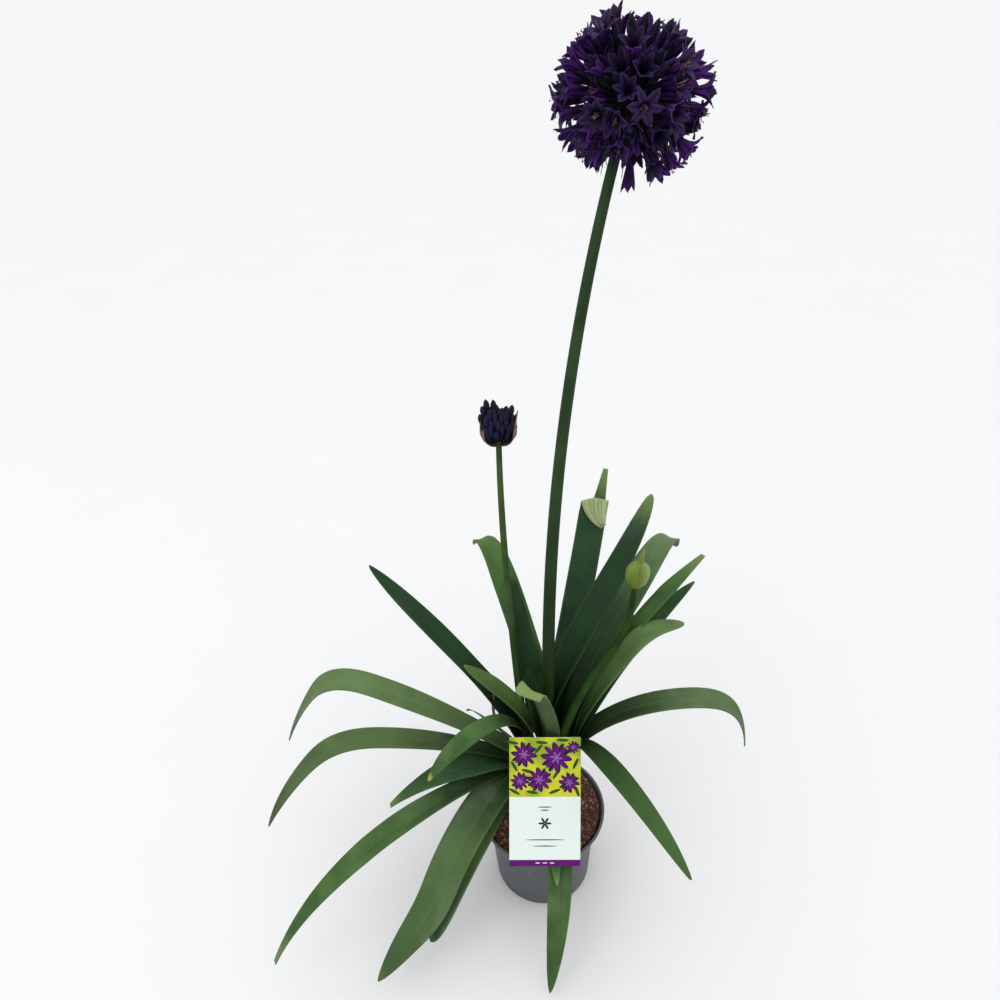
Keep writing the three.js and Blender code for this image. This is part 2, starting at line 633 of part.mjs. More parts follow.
// Open head: florets and late buds on stalks all round, the lower ones hanging.
function headSolid(centre) {
  const random = seededRandom(RANDOM_SEED + 1);
  const core = new THREE.IcosahedronGeometry(HEAD_CENTRE_RADIUS, 1).translate(centre.x, centre.y, centre.z);
  const parts = [toSolid(core)];
  const total = HEAD_FLORETS + HEAD_BUDS;
  evenDirections(total + 5).slice(0, total).forEach((direction, i) => {
    const sideways = new THREE.Vector3(random() - 0.5, random() - 0.5, random() - 0.7).multiplyScalar(0.35);
    const aim = direction.clone().add(sideways).normalize();
    const end = centre.clone().addScaledVector(direction, HEAD_STALK_LENGTH * (0.86 + 0.22 * random()));
    const root = rootSeenFrom(end, aim, centre.clone().addScaledVector(direction, HEAD_CENTRE_RADIUS - 3));
    const isBud = i % 4 === 1 && i / 4 < HEAD_BUDS;
    const shape = isBud
      ? budGeometry(root, 22 + 6 * random(), CLUSTER_BUD_RADIUS)
      : floretGeometry(root, TEPAL_REACH * (0.8 + 0.4 * random()));
    parts.push(toSolid(aimed(shape, aim, end)));
  });
  return joined(parts);
}

// Upright cluster of buds on short stalks.
function clusterSolid(centre, up) {
  const random = seededRandom(RANDOM_SEED + 2);
  const seat = new THREE.IcosahedronGeometry(CLUSTER_SEAT_RADIUS, 1).translate(centre.x, centre.y, centre.z);
  const parts = [toSolid(seat)];
  const tilt = new THREE.Quaternion().setFromUnitVectors(new THREE.Vector3(0, 0, 1), up);
  evenDirections(CLUSTER_BUDS * 2).slice(0, CLUSTER_BUDS).forEach((even) => {
    const spread = new THREE.Vector3(even.x * 0.85, even.y * 0.85, even.z + 0.35).normalize();
    const direction = spread.applyQuaternion(tilt);
    const end = centre.clone().addScaledVector(direction, CLUSTER_STALK_LENGTH * (0.8 + 0.4 * random()));
    const aim = direction.clone().addScaledVector(up, 0.5).normalize();
    const root = rootSeenFrom(end, aim, centre.clone().addScaledVector(direction, CLUSTER_SEAT_RADIUS - 2));
    const bud = budGeometry(root, CLUSTER_BUD_LENGTH * (0.8 + 0.3 * random()), CLUSTER_BUD_RADIUS);
    parts.push(toSolid(aimed(bud, aim, end)));
  });
  return joined(parts);
}

// One papery bract, cupped round the foot of the cluster and ending in a thin point.
function bractSolid(centre, up, compass, length) {
  const outward = polar(1, compass, 0);
  const across = polar(1, compass - 90, 0);
  const steps = 7;
  const thick = 0.4;
  const rings = Array.from({ length: steps + 1 }, (_, i) => {
    const t = i / steps;
    const out = 5.2 + 9 * Math.sin(Math.min(t * 1.25, 1) * Math.PI * 0.5) + (t > 0.8 ? (t - 0.8) * 30 : 0);
    const rise = -5 + t * length * 0.9;
    const swell = 0.3 + 0.7 * Math.sin(Math.PI * Math.min(t * 1.1 + 0.1, 1));
    const half = (BRACT_WIDTH / 2) * swell * (t > 0.85 ? 0.5 : 1);
    const middle = centre.clone().addScaledVector(outward, out).addScaledVector(up, rise);
    const edge = (sign) =>
      middle.clone().addScaledVector(across, sign * half).addScaledVector(outward, -half * 0.45);
    const inward = outward.clone().multiplyScalar(thick);
    return [
      edge(-1).add(inward),
      edge(-1).sub(inward),
      middle.clone().sub(inward),
      edge(1).sub(inward),
      edge(1).add(inward),
      middle.clone().add(inward),
    ];
  });
  return toSolid(loft(rings, { capFrom: 2, mirrored: true }));
}

// Shut bud: a swollen bract closed over the buds, drawn out into a beak.
function closedBudSolid(foot, up) {
  const across = new THREE.Vector3(1, 0, 0).addScaledVector(up, -up.x).normalize();
  const back = up.clone().cross(across);
  const profile = [
    [-0.04, 0.25],
    [0.02, 0.5],
    [0.15, 0.86],
    [0.3, 1],
    [0.46, 0.97],
    [0.6, 0.7],
    [0.69, 0.32],
    [0.8, 0.2],
    [1, 0.06],
  ];
  const rings = profile.map(([share, fat]) => {
    const sidestep = 4 * Math.max(0, share - 0.5);
    const centre = foot.clone().addScaledVector(up, share * CLOSED_BUD_LENGTH);
    centre.addScaledVector(across, sidestep);
    const radius = fat * CLOSED_BUD_RADIUS;
    return ring(centre, across, back, radius, radius * 0.85, 12);
  });
  return toSolid(loft(rings));
}

// ---------------------------------------------------------------- finishes

const finish = (color, roughness, metalness = 0) =>
  new THREE.MeshStandardMaterial({ color, roughness, metalness, side: THREE.DoubleSide });

const GREY_PLASTIC = 0x666a70;
const BROWN_SOIL = 0x4a3228;
const PALE_CARD = 0xe1eee8;
const NECK_GREEN = 0x5f7a48;
const LEAF_GREEN = 0x2f5a35;
const STEM_GREEN = 0x35552f;
const DARK_VIOLET = 0x33184f;
const NAVY_BUD = 0x151228;
const DRY_STRAW = 0x8d6a4a;
const BUD_GREEN = 0x8aa055;

// ---------------------------------------------------------------- the assembled plant

const group = new THREE.Group();
group.name = "agapanthus_in_pot";

function addPiece(name, solid, material) {
  const mesh = new THREE.Mesh(toGeometry(solid), material);
  mesh.name = name;
  group.add(mesh);
}

addPiece("pot", potSolid(), finish(GREY_PLASTIC, 0.55));
addPiece("soil", soilSolid(), finish(BROWN_SOIL, 0.95));
addPiece("label", cardSolid().add(tongueSolid()), finish(PALE_CARD, 0.35));

const stems = Object.entries(STEMS);
const stemRoom = joined(stems.map(([, stem]) => stemSolid(stem, GAP)));
addPiece("crown", crownSolid().subtract(stemRoom), finish(NECK_GREEN, 0.6));
for (const [name, stem] of stems) addPiece(name, stemSolid(stem), finish(STEM_GREEN, 0.55));

// Every blade keeps clear of the label, the crown, the stems and the blades placed before it.
const labelRoom = cardSolid(GAP).add(tongueSolid(GAP));
let taken = joined([labelRoom, stemRoom, ...Object.values(NECKS).map(neckRoom)]);
for (const leaf of LEAVES) {
  const dry = leaf.name.startsWith("dry");
  const blade = largestBody(bladeSolid(leaf).subtract(taken));
  addPiece(leaf.name, blade, finish(dry ? DRY_STRAW : LEAF_GREEN, dry ? 0.9 : 0.5));
  taken = taken.add(bladeSolid(leaf, GAP));
}

const tall = stemTop(STEMS.flower_stem_tall);
const headCentre = tall.centre.clone().addScaledVector(tall.forward, HEAD_CENTRE_RADIUS - 4);
addPiece("flower_head", largestBody(headSolid(headCentre).subtract(stemRoom)), finish(DARK_VIOLET, 0.6));

const budding = stemTop(STEMS.flower_stem_budding);
const clusterCentre = budding.centre.clone().addScaledVector(budding.forward, CLUSTER_SEAT_RADIUS - 3);
const bracts = {
  bract_left: bractSolid(clusterCentre, budding.forward, 172, BRACT_LENGTH * 0.75),
  bract_right: bractSolid(clusterCentre, budding.forward, 12, BRACT_LENGTH),
};
let cluster = clusterSolid(clusterCentre, budding.forward).subtract(stemRoom);
for (const bract of Object.values(bracts)) cluster = cluster.subtract(bract);
addPiece("bud_cluster", largestBody(cluster), finish(NAVY_BUD, 0.55));
for (const [name, bract] of Object.entries(bracts)) addPiece(name, bract, finish(DRY_STRAW, 0.85));

const short = stemTop(STEMS.flower_stem_short);
const closedBud = closedBudSolid(short.centre, short.forward).subtract(stemRoom);
addPiece("closed_bud", largestBody(closedBud), finish(BUD_GREEN, 0.5));

export default group;
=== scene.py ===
import random
from collections import namedtuple
from math import asin, atan2, cos, degrees, hypot, pi, radians, sin, sqrt, tau

import bmesh
import bpy
from mathutils import Matrix, Vector, noise


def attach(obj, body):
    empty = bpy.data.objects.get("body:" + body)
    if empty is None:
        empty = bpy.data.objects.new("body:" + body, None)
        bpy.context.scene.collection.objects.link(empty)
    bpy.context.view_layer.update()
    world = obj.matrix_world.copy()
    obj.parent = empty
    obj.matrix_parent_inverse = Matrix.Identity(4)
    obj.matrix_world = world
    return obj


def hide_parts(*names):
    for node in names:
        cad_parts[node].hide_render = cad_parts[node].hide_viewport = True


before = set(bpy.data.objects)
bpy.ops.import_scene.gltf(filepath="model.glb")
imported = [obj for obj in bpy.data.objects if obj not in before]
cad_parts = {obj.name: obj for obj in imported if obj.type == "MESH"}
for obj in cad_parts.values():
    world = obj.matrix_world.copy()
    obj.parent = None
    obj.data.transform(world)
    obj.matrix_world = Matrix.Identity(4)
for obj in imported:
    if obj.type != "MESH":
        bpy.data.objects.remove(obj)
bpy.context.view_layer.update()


# ------------------------ nursery pot
# A thin-walled nursery pot formed from grey recycled plastic: a straight tapering body, a wider
# collar for stacking, a rolled lip, and a floor with a raised ring and drain holes.

MM = 0.001
QUARTER_TURN = pi / 2
POT_PROFILE = [
    (0, 0), (20, 0), (24, 4), (51, 4), (54, 0), (64, 0), (66, 2), (71, 88), (73.5, 90),
    (82.5, 126), (85, 126.8), (85, 130), (82.1, 130), (80.7, 125.4), (71.7, 91), (69.2, 88.6),
    (64.2, 6), (0, 6),
]
POT_TURNS = 160
POT_EDGE_ROUNDING = 0.5
DRAIN_HOLES, DRAIN_HOLE_RADIUS, DRAIN_RING_RADIUS = 6, 4.5, 38
DRILL_LENGTH = 30


def srgb(red, green, blue):
    """A colour given as 0 to 255 sRGB, as the linear colour that a shader takes."""
    shares = [part / 255 for part in (red, green, blue)]
    return (*(part / 12.92 if part < 0.04 else ((part + 0.055) / 1.055) ** 2.4 for part in shares), 1.0)


class Finish:
    """A Principled material that is painted in layers over its ground colour."""

    def __init__(self, name, roughness, shine, ground=None):
        self.material = bpy.data.materials.new(name)
        self.material.use_nodes = True
        self.nodes = self.material.node_tree.nodes
        self.links = self.material.node_tree.links
        self.shader = self.nodes["Principled BSDF"]
        self.feed(self.shader, {"Roughness": roughness, "Specular IOR Level": shine})
        self.place = self.node("ShaderNodeTexCoord", output=3)
        self.tone = ground

    def feed(self, node, inputs):
        for socket, value in inputs.items():
            if isinstance(value, bpy.types.NodeSocket):
                self.links.new(value, node.inputs[socket])
            else:
                node.inputs[socket].default_value = value

    def node(self, kind, inputs=None, output=0, **settings):
        node = self.nodes.new(kind)
        for key, value in settings.items():
            setattr(node, key, value)
        self.feed(node, inputs or {})
        return node.outputs[output]

    def unroll(self):
        """Reads the piece's UV map: u runs across the piece and v along it."""
        self.uv = self.node("ShaderNodeUVMap", uv_map="UVMap")
        self.u = self.node("ShaderNodeSeparateXYZ", {0: self.uv}, 0)
        self.v = self.node("ShaderNodeSeparateXYZ", {0: self.uv}, 1)

    def noise(self, scale, detail, vector=None, distortion=0.0):
        return self.node("ShaderNodeTexNoise", {
            "Vector": vector or self.place, "Scale": scale, "Detail": detail, "Distortion": distortion})

    def stretched(self, vector, scales):
        return self.node("ShaderNodeMapping", {"Vector": vector, "Scale": scales})

    def streaks(self, across, along, detail):
        """Noise drawn out along the piece, after unroll."""
        return self.noise(1.0, detail, self.stretched(self.uv, (across, along, 1.0)))

    def sums(self, operation, first, second=0.0):
        return self.node("ShaderNodeMath", {0: first, 1: second}, operation=operation)

    def times(self, first, second):
        return self.sums("MULTIPLY", first, second)

    def off(self, value, middle):
        """How far a value lies from the middle, to either side."""
        return self.sums("ABSOLUTE", self.sums("SUBTRACT", value, middle))

    def span(self, value, low, high, to_low=0.0, to_high=1.0):
        """Value mapped smoothly from low..high to to_low..to_high, and held beyond them."""
        return self.node("ShaderNodeMapRange", {
            "Value": value, "From Min": low, "From Max": high, "To Min": to_low, "To Max": to_high},
            interpolation_type="SMOOTHSTEP")

    def mix(self, share, first, second):
        return self.node("ShaderNodeMix", {0: share, 6: first, 7: second}, 2, data_type="RGBA")

    def lay(self, colour, share):
        """Lays a colour over those below it, by a share from 0 to 1."""
        self.tone = self.mix(share, self.tone, colour)
        self.feed(self.shader, {"Base Color": self.tone})

    def paint(self, colour, value, none, full, strength=1.0):
        """Lays a colour on where a value goes from none to full, which may be the lower one."""
        self.lay(colour, self.span(value, none, full, 0.0, strength))

    def roughen(self, value, low, high, smooth, rough):
        self.feed(self.shader, {"Roughness": self.span(value, low, high, smooth, rough)})

    def bump(self, height, depth, strength):
        bump = self.node("ShaderNodeBump", {"Strength": strength, "Distance": depth, "Height": height})
        self.feed(self.shader, {"Normal": bump})


def aimed(turn, climb=0.0):
    """A direction, from its turn about the upright axis and its climb above the level."""
    level = cos(climb)
    return Vector((cos(turn) * level, sin(turn) * level, sin(climb)))


def placed(point):
    """A move to a point that is given in millimetres."""
    return Matrix.Translation(Vector(point) * MM)


def as_piece(name, bm, finishes, crease=35.0):
    """The mesh as a shaded object at the origin, with its sharp corners kept."""
    for edge in bm.edges:
        if len(edge.link_faces) == 2 and edge.calc_face_angle(0.0) > radians(crease):
            edge.smooth = False
    mesh = bpy.data.meshes.new(name)
    bm.to_mesh(mesh)
    bm.free()
    for finish in finishes:
        mesh.materials.append(finish.material)
    mesh.polygons.foreach_set("use_smooth", [True] * len(mesh.polygons))
    piece = bpy.data.objects.new(name, mesh)
    bpy.context.scene.collection.objects.link(piece)
    return piece


def fit(piece, slot, *nodes):
    """The piece rides on the plant's one body and stands for these solids."""
    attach(piece, "root")
    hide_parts(*nodes)


def turned(bm, profile, turns):
    """Spins a profile of (radius, height) in millimetres round the upright axis."""
    corners = [bm.verts.new((radius * MM, 0, height * MM)) for radius, height in profile]
    edges = [bm.edges.new(pair) for pair in zip(corners, corners[1:])]
    bmesh.ops.spin(bm, geom=corners + edges, cent=(0, 0, 0), axis=(0, 0, 1), angle=tau,
                   steps=turns, use_merge=True)
    bmesh.ops.remove_doubles(bm, verts=bm.verts, dist=1e-6)
    bmesh.ops.recalc_face_normals(bm, faces=bm.faces)


grey_plastic = Finish("grey_recycled_plastic", 0.5, 0.42, srgb(62, 65, 68))
cloud = grey_plastic.noise(26, 4)
speck = grey_plastic.noise(1500, 2)
scuff = grey_plastic.noise(260, 5, grey_plastic.stretched(grey_plastic.place, (1, 1, 0.08)), 0.4)
grey_plastic.paint(srgb(78, 81, 84), cloud, 0.35, 0.65)
grey_plastic.paint(srgb(54, 56, 59), speck, 0.6, 0.8, 0.35)
grey_plastic.paint(srgb(120, 122, 126), scuff, 0.58, 0.72, 0.3)
grey_plastic.roughen(cloud, 0.3, 0.7, 0.42, 0.6)
grey_plastic.bump(speck, 0.0002, 0.25)

bm = bmesh.new()
turned(bm, POT_PROFILE, POT_TURNS)
corners = [edge for edge in bm.edges if edge.calc_face_angle(0.0) > radians(30)]
bmesh.ops.bevel(bm, geom=corners, offset=POT_EDGE_ROUNDING * MM, offset_type="OFFSET", segments=3,
                profile=0.5, affect="EDGES", material=-1, clamp_overlap=True)
pot = as_piece("nursery_pot", bm, [grey_plastic])

bm = bmesh.new()
for hole in range(DRAIN_HOLES):
    turn = tau * (hole + 0.5) / DRAIN_HOLES
    bmesh.ops.create_cone(bm, cap_ends=True, segments=28, radius1=DRAIN_HOLE_RADIUS * MM,
                          radius2=DRAIN_HOLE_RADIUS * MM, depth=DRILL_LENGTH * MM,
                          matrix=placed(aimed(turn) * DRAIN_RING_RADIUS))
drill = as_piece("drain_drill", bm, [grey_plastic])
cut = pot.modifiers.new("drain_holes", "BOOLEAN")
cut.operation, cut.solver, cut.object = "DIFFERENCE", "EXACT", drill
drilled = bpy.data.meshes.new_from_object(pot.evaluated_get(bpy.context.evaluated_depsgraph_get()))
pot.modifiers.clear()
pot.data = drilled
bpy.data.objects.remove(drill)
fit(pot, "pot_plastic", "pot")


# ------------------------ potting soil
# Coarse potting mix of composted bark and coir: a crumbly mound, a little proud of the rim in the
# middle, with loose bark chips and fibres lying all over it.

SOIL_PROFILE = [(0, 6.4), (63.2, 6.4), (68, 88), (70.2, 92.4), (77.4, 118)]
SOIL_EDGE, SOIL_EDGE_HEIGHT, SOIL_MOUND, SOIL_TILT = 78.3, 125, 9, 2.5
SOIL_RINGS, SOIL_TURNS = 40, 150
# Height and size of the lumps, and the layer of noise that they are read from.
SOIL_LUMPS = [(3.0, 14, 0), (1.7, 4.5, 40)]
CHIPS, CHIP_SIZES, BIG_CHIP_SHARE, BIG_CHIP_SIZE = 1500, (0.7, 2.0), 0.08, 1.7
FIBRES, FIBRE_LENGTHS, FIBRE_RADII = 420, (5, 13), (0.28, 0.12)
BARK_SHADES = [
    (0.0, srgb(46, 28, 25)), (0.35, srgb(98, 58, 48)), (0.7, srgb(142, 94, 76)),
    (0.92, srgb(170, 124, 100)), (1.0, srgb(206, 172, 142)),
]


def sized(x, y, z):
    """Scales a unit shape to its size in millimetres."""
    return Matrix.Diagonal((x * MM, y * MM, z * MM, 1))


def add_ball(bm, matrix, detail=3):
    """A round lump of radius 1 before the matrix; gives back its corners."""
    return bmesh.ops.create_icosphere(bm, subdivisions=detail, radius=1, matrix=matrix)["verts"]


def soil_height(x, y):
    """Height of the mix at a place, with its lumps, which flatten towards the rim."""
    share = hypot(x, y) / SOIL_EDGE
    tilt = SOIL_TILT * share * sin(atan2(y, x) + 0.4)
    lumps = sum(high * noise.noise(Vector((x, y, layer)) / size) for high, size, layer in SOIL_LUMPS)
    return SOIL_EDGE_HEIGHT + SOIL_MOUND * (1 - share * share) + tilt + lumps * min(1, 6 * (1.05 - share))


potting_mix = Finish("potting_mix", 0.95, 0.2, srgb(40, 26, 23))
crumb = potting_mix.noise(420, 5)
grain = potting_mix.node("ShaderNodeTexVoronoi", {"Vector": potting_mix.place, "Scale": 520.0})
potting_mix.paint(srgb(104, 70, 58), crumb, 0.35, 0.65)
potting_mix.paint(srgb(70, 46, 39), grain, 0.05, 0.4)
potting_mix.bump(grain, 0.0015, 0.9)

bark = Finish("bark_chip", 0.85, 0.25)
kind = bark.node("ShaderNodeAttribute", output=2, attribute_name="kind")
bark.tone = bark.node("ShaderNodeValToRGB", {0: kind})
stops = bark.tone.node.color_ramp.elements
for place, shade in BARK_SHADES[1:-1]:
    stops.new(place)
for stop, (place, shade) in zip(stops, BARK_SHADES):
    stop.color = shade
streak = bark.noise(900, 4)
bark.paint(srgb(44, 28, 24), streak, 0.35, 0.8, 0.5)
bark.bump(streak, 0.0004, 0.6)

bm = bmesh.new()
rings = [(SOIL_EDGE * (1 - ring / SOIL_RINGS), SOIL_EDGE_HEIGHT) for ring in range(SOIL_RINGS + 1)]
turned(bm, SOIL_PROFILE + rings, SOIL_TURNS)
for vert in bm.verts:
    if vert.co.z > (SOIL_EDGE_HEIGHT - 1) * MM:
        vert.co.z = soil_height(vert.co.x / MM, vert.co.y / MM) * MM
soil = as_piece("potting_mound", bm, [potting_mix], 180)
fit(soil, "potting_soil", "soil")

dice = random.Random(41)
bm = bmesh.new()
kinds = bm.faces.layers.float.new("kind")
for item in range(CHIPS + FIBRES):
    reach = (SOIL_EDGE - 1.5) * sqrt(dice.random())
    spot = aimed(dice.uniform(0, tau)) * reach
    spot.z = soil_height(spot.x, spot.y) + 0.5
    heading = Matrix.Rotation(dice.uniform(0, tau), 4, "Z")
    slope = Matrix.Rotation(dice.gauss(0, 0.3), 4, "Y") @ Matrix.Rotation(dice.gauss(0, 0.4), 4, "X")
    lie = placed(spot) @ heading @ slope
    if item < CHIPS:
        size = dice.uniform(*CHIP_SIZES) * (BIG_CHIP_SIZE if dice.random() < BIG_CHIP_SHARE else 1)
        made = add_ball(bm, lie @ sized(size * dice.uniform(1, 2.2), size, size * 0.45), 1)
        shade = dice.random() ** 1.4 * 0.85
    else:
        thick, thin = FIBRE_RADII
        made = bmesh.ops.create_cone(bm, cap_ends=True, segments=3, radius1=thick * MM, radius2=thin * MM,
                                     depth=dice.uniform(*FIBRE_LENGTHS) * MM,
                                     matrix=lie @ Matrix.Rotation(QUARTER_TURN, 4, "Y"))["verts"]
        shade = dice.uniform(0.6, 1.0)
    for vert in made:
        vert.co += Vector((dice.gauss(0, 0.16), dice.gauss(0, 0.16), dice.gauss(0, 0.08))) * MM
        for face in vert.link_faces:
            face[kinds] = shade
chips = as_piece("bark_chips", bm, [bark], 180)
chips.data.polygons.foreach_set("use_smooth", [False] * len(chips.data.polygons))
fit(chips, "potting_soil", "soil")


# ------------------------ necks of leaf bases
# One short rootstock carries three upright necks. Each is a core wrapped in the clasping bases of
# its own leaves, which are grown in one with their blades and come with them in a later section.

# Places and radii at the soil and at the top, and the share of the radius that the core takes.
Neck = namedtuple("Neck", "foot top top_height foot_radius top_radius core")
NECKS = {
    "left": Neck((-17, 4), (-18, 12), 246, 15, 9.5, 0.62),
    "middle": Neck((6, 9), (14, 16), 250, 15, 11, 0.78),
    "right": Neck((26, 3), (40, 12), 246, 15, 9.5, 0.45),
}
NECK_FOOT_HEIGHT, SOIL_LINE = 106, 125
NECK_DEPTH_SHARE = 0.88
CORE_ABOVE_NECK = 44


def mixed(first, second, share):
    return first + (second - first) * share


def eased(share):
    share = min(max(share, 0.0), 1.0)
    return share * share * (3 - 2 * share)


def neck_point(neck, height):
    share = (height - SOIL_LINE) / (neck.top_height - SOIL_LINE)
    x, y = (mixed(low, high, share) for low, high in zip(neck.foot, neck.top))
    return Vector((x, y, height))


def neck_radius(neck, height):
    share = (height - NECK_FOOT_HEIGHT) / (neck.top_height - NECK_FOOT_HEIGHT)
    return mixed(neck.foot_radius, neck.top_radius, share)


def round_neck(neck, height, turn, radius):
    """A point on a ring about the neck, which is a little flatter from front to back."""
    return neck_point(neck, height) + aimed(turn) * Vector((radius, radius * NECK_DEPTH_SHARE, 0))


def faces_of(corners):
    return {face for vert in corners for face in vert.link_faces}


def sheet(bm, across, along, place, wrapped=False):
    """A grid whose points are moved to place(u, v) in millimetres, with u and v kept as its UV map."""
    uv_map = bm.loops.layers.uv.get("UVMap") or bm.loops.layers.uv.new("UVMap")
    made = bmesh.ops.create_grid(bm, x_segments=across, y_segments=along, size=0.5)["verts"]
    for face in faces_of(made):
        for loop in face.loops:
            loop[uv_map].uv = (loop.vert.co.x + 0.5, loop.vert.co.y + 0.5)
    for vert in made:
        u, v = (min(max(part + 0.5, 0.0), 1.0) for part in vert.co.xy)
        vert.co = Vector(place(u, v)) * MM
    if wrapped:
        bmesh.ops.remove_doubles(bm, verts=made, dist=1e-6)


def close_ends(bm):
    """Fills the open ends of tubes and turns all faces outwards."""
    bmesh.ops.holes_fill(bm, edges=[edge for edge in bm.edges if edge.is_boundary], sides=0)
    bmesh.ops.recalc_face_normals(bm, faces=bm.faces)


def green_finish(name, deep, light, root, painted_light_shares=None):
    """Green in two shades with fine lengthwise veins; painted shade at the root (a paler foot on necks)
    and painted light where it lightens.
    """
    green = Finish(name, 0.5, 0.07, deep)
    green.unroll()
    vein = green.streaks(46.0, 2.5, 3)
    cloud = green.noise(32, 4)
    # On a lightening blade the lighter green of the upper part is painted light, and the darker green
    # below it is painted shade.
    painted_light_grade = green.span(green.v, *(painted_light_shares or (-1, 0)), 0.25, 1.0)
    green.lay(light, green.times(painted_light_grade, green.span(cloud, 0.3, 0.7, 0.65 if painted_light_shares else 0.0, 1.0)))
    green.lay(light, green.times(painted_light_grade, green.span(vein, 0.35, 0.7, 0.0, 0.5)))
    # Painted shade darkens the root of blades and stems; on the neck cores this colour is a paler foot
    # instead.
    green.paint(root, green.v, 0.58, 0.25, 0.8)
    green.roughen(cloud, 0.3, 0.7, 0.44, 0.6)
    green.bump(vein, 0.0006, 0.5)
    return green


bm = bmesh.new()
for neck in NECKS.values():
    def core(u, v, neck=neck):
        height = mixed(NECK_FOOT_HEIGHT, neck.top_height + CORE_ABOVE_NECK, v)
        turn = -tau * u
        inside = neck.foot_radius * mixed(neck.core - 0.04, 0.7, eased((v - 0.5) / 0.3))
        radius = inside * (1 - eased((v - 0.7) / 0.3) ** 1.5) * (1 + 0.03 * sin(3 * turn))
        return round_neck(neck, height, turn, radius)
    sheet(bm, 28, 30, core, wrapped=True)
close_ends(bm)
neck_green = green_finish("neck_green", srgb(26, 46, 20), srgb(44, 68, 30), srgb(70, 76, 50))
fit(as_piece("neck_cores", bm, [neck_green]), "leaf_base", "crown")


# ------------------------ flower stems
# Three smooth round stems, thick and fleshy, stand among the blades: the tall one carries the open
# head, the others a cluster of buds and a bud that is still shut. They come out of the necks.

# A line grown from a neck at a height and an offset: its compass heading and how far that sways, its
# length, its rise above the level at the root, how far and how late it arches over, and its nod, which
# is one more bend by so many degrees, from a share of the length and over a share of it.
Growth = namedtuple("Growth", "neck height offset heading length rise arch bend sway nod")
NO_NOD = (0, 1, 1)
GROWTH_STEPS = 600
Stem = namedtuple("Stem", "growth foot_radius top_radius slimming greens")
# Each stem's greens: its finish's name, two greens, and a darker green at the foot that is painted shade.
STEMS = {
    "flower_stem_tall": Stem(
        Growth("middle", 228, (0, 0), 48, 755, 91.5, 22, 1.5, -12, NO_NOD), 8.2, 4.6, 1.0,
        ("tall_stem_green", srgb(28, 45, 25), srgb(42, 60, 34), srgb(26, 42, 18))),
    "flower_stem_budding": Stem(
        Growth("left", 226, (0, 0), 111, 420, 81, 19, 0.85, -24, NO_NOD), 6, 3.5, 0.6,
        ("second_stem_green", srgb(34, 54, 24), srgb(56, 76, 40), srgb(24, 42, 16))),
    "flower_stem_short": Stem(
        Growth("right", 122, (-6, -13), 28.4, 390.5, 100.9, 73.9, 1.07, -6, (-55.9, 0.72, 0.24)),
        6.5, 3.4, 1.3,
        ("short_stem_green", srgb(20, 41, 9), srgb(36, 62, 19), srgb(12, 28, 5))),
}
Station = namedtuple("Station", "point forward side face")


def stem_radius(stem, share):
    return mixed(stem.foot_radius, stem.top_radius, share ** stem.slimming)


def directions(growth, share):
    """Forwards, to the side and out of the upper face, at a share of the length."""
    nod, starts, lasts = growth.nod
    climb = growth.rise - growth.arch * share ** growth.bend - nod * eased((share - starts) / lasts)
    climb, turn = radians(climb), radians(growth.heading + growth.sway * share)
    return aimed(turn, climb), aimed(turn + QUARTER_TURN), aimed(turn, climb + QUARTER_TURN)


def step_at(share, steps):
    """The step of a path that a share of it falls in, and how much of that step is done."""
    spot = share * steps
    step = min(int(spot), steps - 1)
    return step, spot - step


def grown(growth):
    """The centre line as a function of the share of its length."""
    path = [neck_point(NECKS[growth.neck], growth.height) + Vector((*growth.offset, 0))]
    for step in range(GROWTH_STEPS):
        forward = directions(growth, (step + 0.5) / GROWTH_STEPS)[0]
        path.append(path[-1] + forward * (growth.length / GROWTH_STEPS))

    def station(share):
        step, done = step_at(share, GROWTH_STEPS)
        return Station(path[step].lerp(path[step + 1], done), *directions(growth, share))
    return station


STEM_LINES = {}
for name, stem in STEMS.items():
    STEM_LINES[name] = grown(stem.growth)

    def fleshy(u, v, stem=stem, line=STEM_LINES[name]):
        spot = line(v)
        turn = -tau * u
        radius = stem_radius(stem, v)
        radius *= 1 + 0.015 * sin(5 * turn + 3 * v) + 0.01 * noise.noise(Vector((v * 9, 3, 0)))
        return spot.point + (spot.side * cos(turn) + spot.face * sin(turn)) * radius
    bm = bmesh.new()
    sheet(bm, 24, 110, fleshy, wrapped=True)
    close_ends(bm)
    scape = as_piece(name.replace("flower_stem", "scape"), bm, [green_finish(*stem.greens)], 60)
    fit(scape, "flower_stem", name)


# ------------------------ strap leaves
# Fleshy channelled strap leaves, each grown in one with the base that clasps its neck. They are
# widest past the middle, keeled underneath, and end in a blunt point that yellows with age.

# How a blade ends: how suddenly it narrows, how full the narrowing is, and its least width.
POINTED, ROUNDED, CUT_OFF = (2.2, 0.8, 1.6), (3, 0.6, 2), (9, 0.4, 12)
BLUNT, CURLED, FLAP, FULL = (1.1, 1, 6), (1.6, 0.7, 5), (2, 0.8, 5), (1.6, 0.5, 1.6)
# Taper is the share of the length that narrows, roll and twist turn the blade about its line, root is the
# share of the width at the root and full where all of it is reached. An end may be lopsided or slanting,
# the foot drawn aside, and one side may sink at a fold.
Leaf = namedtuple(
    "Leaf", "name growth width shade taper roll twist root full end tip lopsided slant foot sink",
    defaults=(0.45, 0, 0, 0.62, 0.45, POINTED, "plain", 0, 0, (0, 0), 0))


def strap(name, height, heading, length, rise, arch, bend, sway, width, shade,
          nod=NO_NOD, offset=(0, 0), **more):
    neck = name.split("_")[0]
    return Leaf(name, Growth(neck, height, offset, heading, length, rise, arch, bend, sway, nod),
                width, shade, **more)


